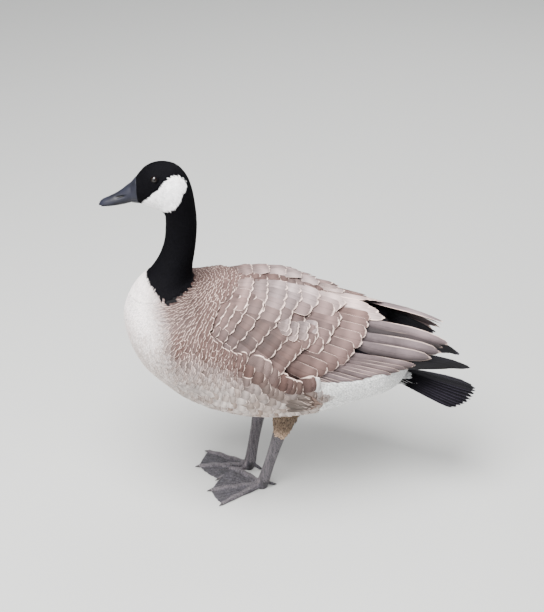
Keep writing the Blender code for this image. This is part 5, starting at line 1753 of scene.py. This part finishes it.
class GOOSE_OT_legs(bpy.types.Operator):
    """Adds the bare legs, the webbed feet and their scales."""

    bl_idname = "goose.legs"
    bl_label = "Legs and feet"

    def execute(self, context):
        settings = context.scene.goose_shape
        for side_name in SIDES:
            leg = self.skin(side_name, settings.leg_detail)
            place_piece(leg, "foot_skin", f"tarsus_{side_name}", f"foot_{side_name}")
            place_piece(self.scales(side_name, settings.scale_height), "foot_skin")
        return {"FINISHED"}

    def flat_tube(self, stations):
        """A toe's rings, square to its run in plan, and upright."""
        stations = np.asarray(stations)
        rings = []
        for k in range(len(stations)):
            ahead, behind = stations[min(k + 1, len(stations) - 1)], stations[max(k - 1, 0)]
            way = math.atan2(ahead[1] - behind[1], ahead[0] - behind[0])
            x, y, z, tall, broad = stations[k]
            across = (-math.sin(way) * broad, math.cos(way) * broad, 0.0)
            rings.append(ring_of((x, y, z), (0.0, 0.0, tall), across, 16, 2.2))
        return solid("toe", *tube(rings))

    def web(self, side_name, first, second):
        """The skin between two toes, as a thin slab that is thicker at its front edge."""
        rings = []
        for s in np.linspace(0.06, 1.0, 24):
            half = 0.75 + 0.45 * smooth(0.93, 1.0, s)
            line = []
            for t in np.linspace(0.0, 1.0, 15):
                belly = 4.0 * t * (1.0 - t)
                a, b = (toe_point(side_name, toe, s * toe_end(side_name, toe, CLAW_SHEATH * 0.8)
                                  * (1.0 - WEB_NOTCH * belly))[0] for toe in (first, second))
                point = a + (b - a) * t
                folds = 0.5 * math.sin(t * math.pi * 7.0 + 1.5 * s) * s * belly
                point[2] = max(point[2] + folds - 1.7 * belly, half)
                line.append(point)
            up = (0.0, 0.0, half)
            rings.append(np.concatenate([np.array(line) + up, (np.array(line) - up)[::-1]]))
        return solid("web", *tube(rings))

    def skin(self, side_name, detail):
        top, low = leg_line(side_name)
        rows = curve(TARSUS_SHAPE, np.linspace(0.0, 6.0, 40))
        shank = [(*(top + (low - top) * share), fore, broad) for share, fore, broad in rows]
        base, side = FOOT_BASE[side_name], SIDES[side_name]
        run = (top - low) / np.linalg.norm(top - low)
        joint = [
            (*(low + run * 22.0), 8.6, 6.8),
            (*(low + run * 8.0), 8.8, 7.4),
            (base[0] - 1.0, side * base[1], 6.2, 9.2, 8.4),
            (base[0] - 2.0, side * base[1], -1.0, 7.6, 7.4),
        ]
        leg = solid(f"leg_{side_name}", *tube(limb_rings(shank, (0.4, 39.0), 60, 32)), leg_material())
        pieces = [solid("joint", *tube(limb_rings(joint, (0.0, 3.0), 30, 32)))]
        for toe in TOES[side_name]:
            end = toe_end(side_name, toe, CLAW_SHEATH)
            stations = []
            for share in np.linspace(0.0, end, 44):
                point, radius = toe_point(side_name, toe, share)
                radius *= 1.0 - 0.25 * smooth(end - 0.05, end, share)
                stations.append((*point, radius, radius * 0.95))
            pieces.append(self.flat_tube(stations))
        pieces.append(self.flat_tube(curve(hallux_stations(side_name), np.linspace(0.0, 2.0, 16))))
        pieces.append(self.web(side_name, "inner", "middle"))
        pieces.append(self.web(side_name, "middle", "outer"))
        melt(join(leg, pieces), detail, 3, leg_material())
        points = vertex_points(leg)
        points[:, 2] = np.maximum(points[:, 2], 0.0)
        leg.data.vertices.foreach_set("co", (points * METRES).astype(np.float32).ravel())
        set_tint(leg, self.tones(side_name, points))
        return leg

    def tones(self, side_name, points):
        """Painted light and a warmer tone along the toes' ridges, painted shade on the webs with their folds,
        and the leg's grey.
        """
        colour = np.array(bpy.context.scene.goose_horn.leg)
        base, side = FOOT_BASE[side_name], SIDES[side_name]
        away = np.full(len(points), np.inf)
        for toe in TOES[side_name]:
            for share in np.linspace(0.0, 1.0, 50):
                spot = toe_point(side_name, toe, share)[0]
                away = np.minimum(away, np.hypot(points[:, 0] - spot[0], points[:, 1] - spot[1]))
        foot = smooth(26.0, 14.0, points[:, 2])
        lit_toe_ridge = np.exp(-((away / 3.4) ** 2)) * foot
        web = foot * (1.0 - lit_toe_ridge)
        heading = np.arctan2(points[:, 1] - side * base[1], points[:, 0] - base[0])
        folds = np.sin(heading * 58.0 + 2.0 * drift(points, 9.0, FOLD_DRIFT)) * web
        clouds = drift(points * (1.0, 1.0, 0.2), 4.0, LEG_DRIFT)
        # Painted light brightens the toes' tops and painted shade darkens the sunk webs; the clouds and the
        # folds are the skin's own tones
        shade = 0.95 + 0.12 * clouds - 0.42 * web + 1.1 * lit_toe_ridge + 0.12 * folds
        return mix(colour * (0.94, 0.97, 1.06), colour * (1.04, 1.0, 0.95), lit_toe_ridge) * shade[:, None]

    def scales(self, side_name, height):
        """Scutes on the front of the leg and along the toes, by Geometry Nodes."""
        top, low = leg_line(side_name)
        run = unit(low - top)
        ahead = unit(np.array([-1.0, 0.0, 0.0]) - run * -run[0])
        across = np.cross(run, ahead)
        depths = [row[1:] for row in TARSUS_SHAPE]
        # Of each scale: its place, facing, lie and size
        plates = []
        for k, share in enumerate(np.linspace(0.12, 0.93, 34)):
            fore, broad = curve(depths, np.interp(share, [row[0] for row in TARSUS_SHAPE], range(7)))[0]
            for column in range(-5, 5):
                a = math.radians(36.0) * (column + 0.5 * (k % 2))
                out = ahead * math.cos(a) * fore + across * math.sin(a) * broad
                normal = unit(ahead * math.cos(a) / fore + across * math.sin(a) / broad)
                big = 1.1 if abs(column) <= 1 else 0.8
                spot = top + (low - top) * share + out * 0.985
                plates.append((spot, normal, run, (2.5 * big, 2.6 * big, 1.0)))
        for toe in TOES[side_name]:
            for share in np.linspace(0.08, toe_end(side_name, toe), 34):
                point, radius = toe_point(side_name, toe, share)
                way = unit(toe_point(side_name, toe, share + 0.02)[0] - point)
                spot = point + (0.0, 0.0, radius * 0.88)
                plates.append((spot, (0.0, 0.0, 1.0), way, (1.7, radius * 0.82, 1.5)))
        spots, facing, lie, size = np.array(plates).transpose(1, 0, 2)
        mesh = bpy.data.meshes.new(f"scales_{side_name}")
        mesh.from_pydata((spots * METRES).tolist(), [], [])
        obj = bpy.data.objects.new(f"scales_{side_name}", mesh)
        bpy.context.scene.collection.objects.link(obj)
        for label, values in (("facing", facing), ("lie", lie), ("size", size * METRES)):
            set_values(obj, label, values, "FLOAT_VECTOR", "vector")
        modifier = obj.modifiers.new("scales", "NODES")
        modifier.node_group = scale_tree()
        given = {"Height": height, "Material": leg_material()}
        for item in modifier.node_group.interface.items_tree:
            if item.item_type == "SOCKET" and item.in_out == "INPUT" and item.name in given:
                modifier[item.identifier] = given[item.name]
        bake_modifiers(obj)
        pale = np.array(bpy.context.scene.goose_horn.leg) * 1.25
        set_tint(obj, np.tile(pale, (len(obj.data.vertices), 1)))
        obj.data.shade_smooth()
        return obj


@built_once("node_groups", "Leg scales")
def scale_tree(name):
    """Geometry Nodes: a low domed plate on each point, turned by its facing and lie."""
    group = bpy.data.node_groups.new(name, "GeometryNodeTree")
    for label, kind in (("Points", "Geometry"), ("Height", "Float"), ("Material", "Material")):
        group.interface.new_socket(label, in_out="INPUT", socket_type=f"NodeSocket{kind}")
    group.interface.new_socket("Geometry", in_out="OUTPUT", socket_type="NodeSocketGeometry")
    given = group.nodes.new("NodeGroupInput").outputs
    out = group.nodes.new("NodeGroupOutput").inputs
    plate = add_node(group, "GeometryNodeMeshUVSphere", {"Segments": 8, "Rings": 5, "Radius": 1.0})

    def named(label):
        node = add_node(group, "GeometryNodeInputNamedAttribute", {"Name": label}, data_type="FLOAT_VECTOR")
        return node.outputs[0]

    stand = add_node(group, "FunctionNodeAlignRotationToVector", {"Vector": named("facing")}, axis="Z")
    turn = add_node(group, "FunctionNodeAlignRotationToVector",
                    {"Rotation": stand.outputs[0], "Vector": named("lie")}, axis="X", pivot_axis="Z")
    long, broad, share = add_node(group, "ShaderNodeSeparateXYZ", {0: named("size")}).outputs
    tall = calc(group, "MULTIPLY", calc(group, "MULTIPLY", share, 1.0 / METRES), given["Height"])
    scale = add_node(group, "ShaderNodeCombineXYZ", {0: long, 1: broad, 2: tall})
    spread = add_node(group, "GeometryNodeInstanceOnPoints", {
        "Points": given["Points"], "Instance": plate.outputs[0], "Rotation": turn.outputs[0],
        "Scale": scale.outputs[0]})
    real = add_node(group, "GeometryNodeRealizeInstances", {"Geometry": spread.outputs[0]})
    finish = add_node(group, "GeometryNodeSetMaterial",
                      {"Geometry": real.outputs[0], "Material": given["Material"]})
    group.links.new(finish.outputs[0], out["Geometry"])
    return group


class GOOSE_OT_claws(bpy.types.Operator):
    """Adds the eight claws."""

    bl_idname = "goose.claws"
    bl_label = "Claws"

    def execute(self, context):
        claws, nodes = [], []
        for side_name in SIDES:
            for toe in TOES[side_name]:
                end = toe_end(side_name, toe)
                point, radius = toe_point(side_name, toe, end)
                before, _ = toe_point(side_name, toe, end - 0.02)
                claws.append(self.claw(point, before, radius * 0.85, CLAW_LENGTH))
                nodes.append(f"claw_{side_name}_{toe}")
            before, point = (np.array(station[:3]) for station in hallux_stations(side_name)[-2:])
            claws.append(self.claw(point, before, 2.0, 5.0))
            nodes.append(f"claw_{side_name}_hind")
        starts = np.cumsum([0] + [len(points) for points, _ in claws])
        points = np.concatenate([points for points, _ in claws])
        faces = np.concatenate([faces + start for (_, faces), start in zip(claws, starts)])
        place_piece(solid("claw_set", points, faces, claw_material()), "claws", *nodes)
        return {"FINISHED"}

    def claw(self, point, before, radius, length):
        """Points and triangles of one claw, which bends down from a toe's end."""
        way = math.atan2(point[1] - before[1], point[0] - before[0])
        c, s = math.cos(way), math.sin(way)
        rings = []
        for share in np.linspace(-0.12, 1.0, 16):
            r = radius * (1.0 - 0.8 * max(share, 0.0) ** 1.4)
            centre = point + np.array((c, s, 0.0)) * length * share
            centre[2] -= (point[2] - radius * 0.4) * 0.75 * max(share, 0.0) ** 2
            rings.append(ring_of(centre, (0.0, 0.0, r), (-s * r * 0.9, c * r * 0.9, 0.0), 14))
        rings = np.array(rings)
        rings[..., 2] = np.maximum(rings[..., 2], 0.0)
        return tube(rings)


class GOOSE_PT_panel(bpy.types.Panel):
    """Lists the goose's settings and pieces."""

    bl_label = "Canada Goose"
    bl_idname = "GOOSE_PT_panel"
    bl_space_type = "VIEW_3D"
    bl_region_type = "UI"
    bl_category = "Goose"

    def draw(self, context):
        layout = self.layout
        for label in ("goose_plumage", "goose_shape", "goose_horn", "goose_stage"):
            settings = getattr(context.scene, label)
            box = layout.box()
            for name in settings.__annotations__:
                box.prop(settings, name)
        for operator in OPERATORS:
            layout.operator(operator.bl_idname)


OPERATORS = (
    GOOSE_OT_stage, GOOSE_OT_skin, GOOSE_OT_eyes, GOOSE_OT_bill, GOOSE_OT_body_plumage, GOOSE_OT_wing_beds,
    GOOSE_OT_wings, GOOSE_OT_tail, GOOSE_OT_thighs, GOOSE_OT_legs, GOOSE_OT_claws,
)
SETTINGS = {
    "goose_plumage": GoosePlumageSettings,
    "goose_shape": GooseShapeSettings,
    "goose_horn": GooseHornSettings,
    "goose_stage": GooseStageSettings,
}


def register():
    for group in SETTINGS.values():
        bpy.utils.register_class(group)
    for label, group in SETTINGS.items():
        setattr(bpy.types.Scene, label, bpy.props.PointerProperty(type=group))
    for operator in OPERATORS:
        bpy.utils.register_class(operator)
    bpy.utils.register_class(GOOSE_PT_panel)


def unregister():
    bpy.utils.unregister_class(GOOSE_PT_panel)
    for operator in reversed(OPERATORS):
        bpy.utils.unregister_class(operator)
    for label, group in SETTINGS.items():
        delattr(bpy.types.Scene, label)
        bpy.utils.unregister_class(group)


def main():
    register()
    bpy.ops.goose.stage()
    bpy.ops.goose.skin()
    bpy.ops.goose.eyes()
    bpy.ops.goose.bill()
    bpy.ops.goose.body_plumage()
    bpy.ops.goose.wing_beds()
    bpy.ops.goose.wings()
    bpy.ops.goose.tail()
    bpy.ops.goose.thighs()
    bpy.ops.goose.legs()
    bpy.ops.goose.claws()


if __name__ == "__main__":
    main()
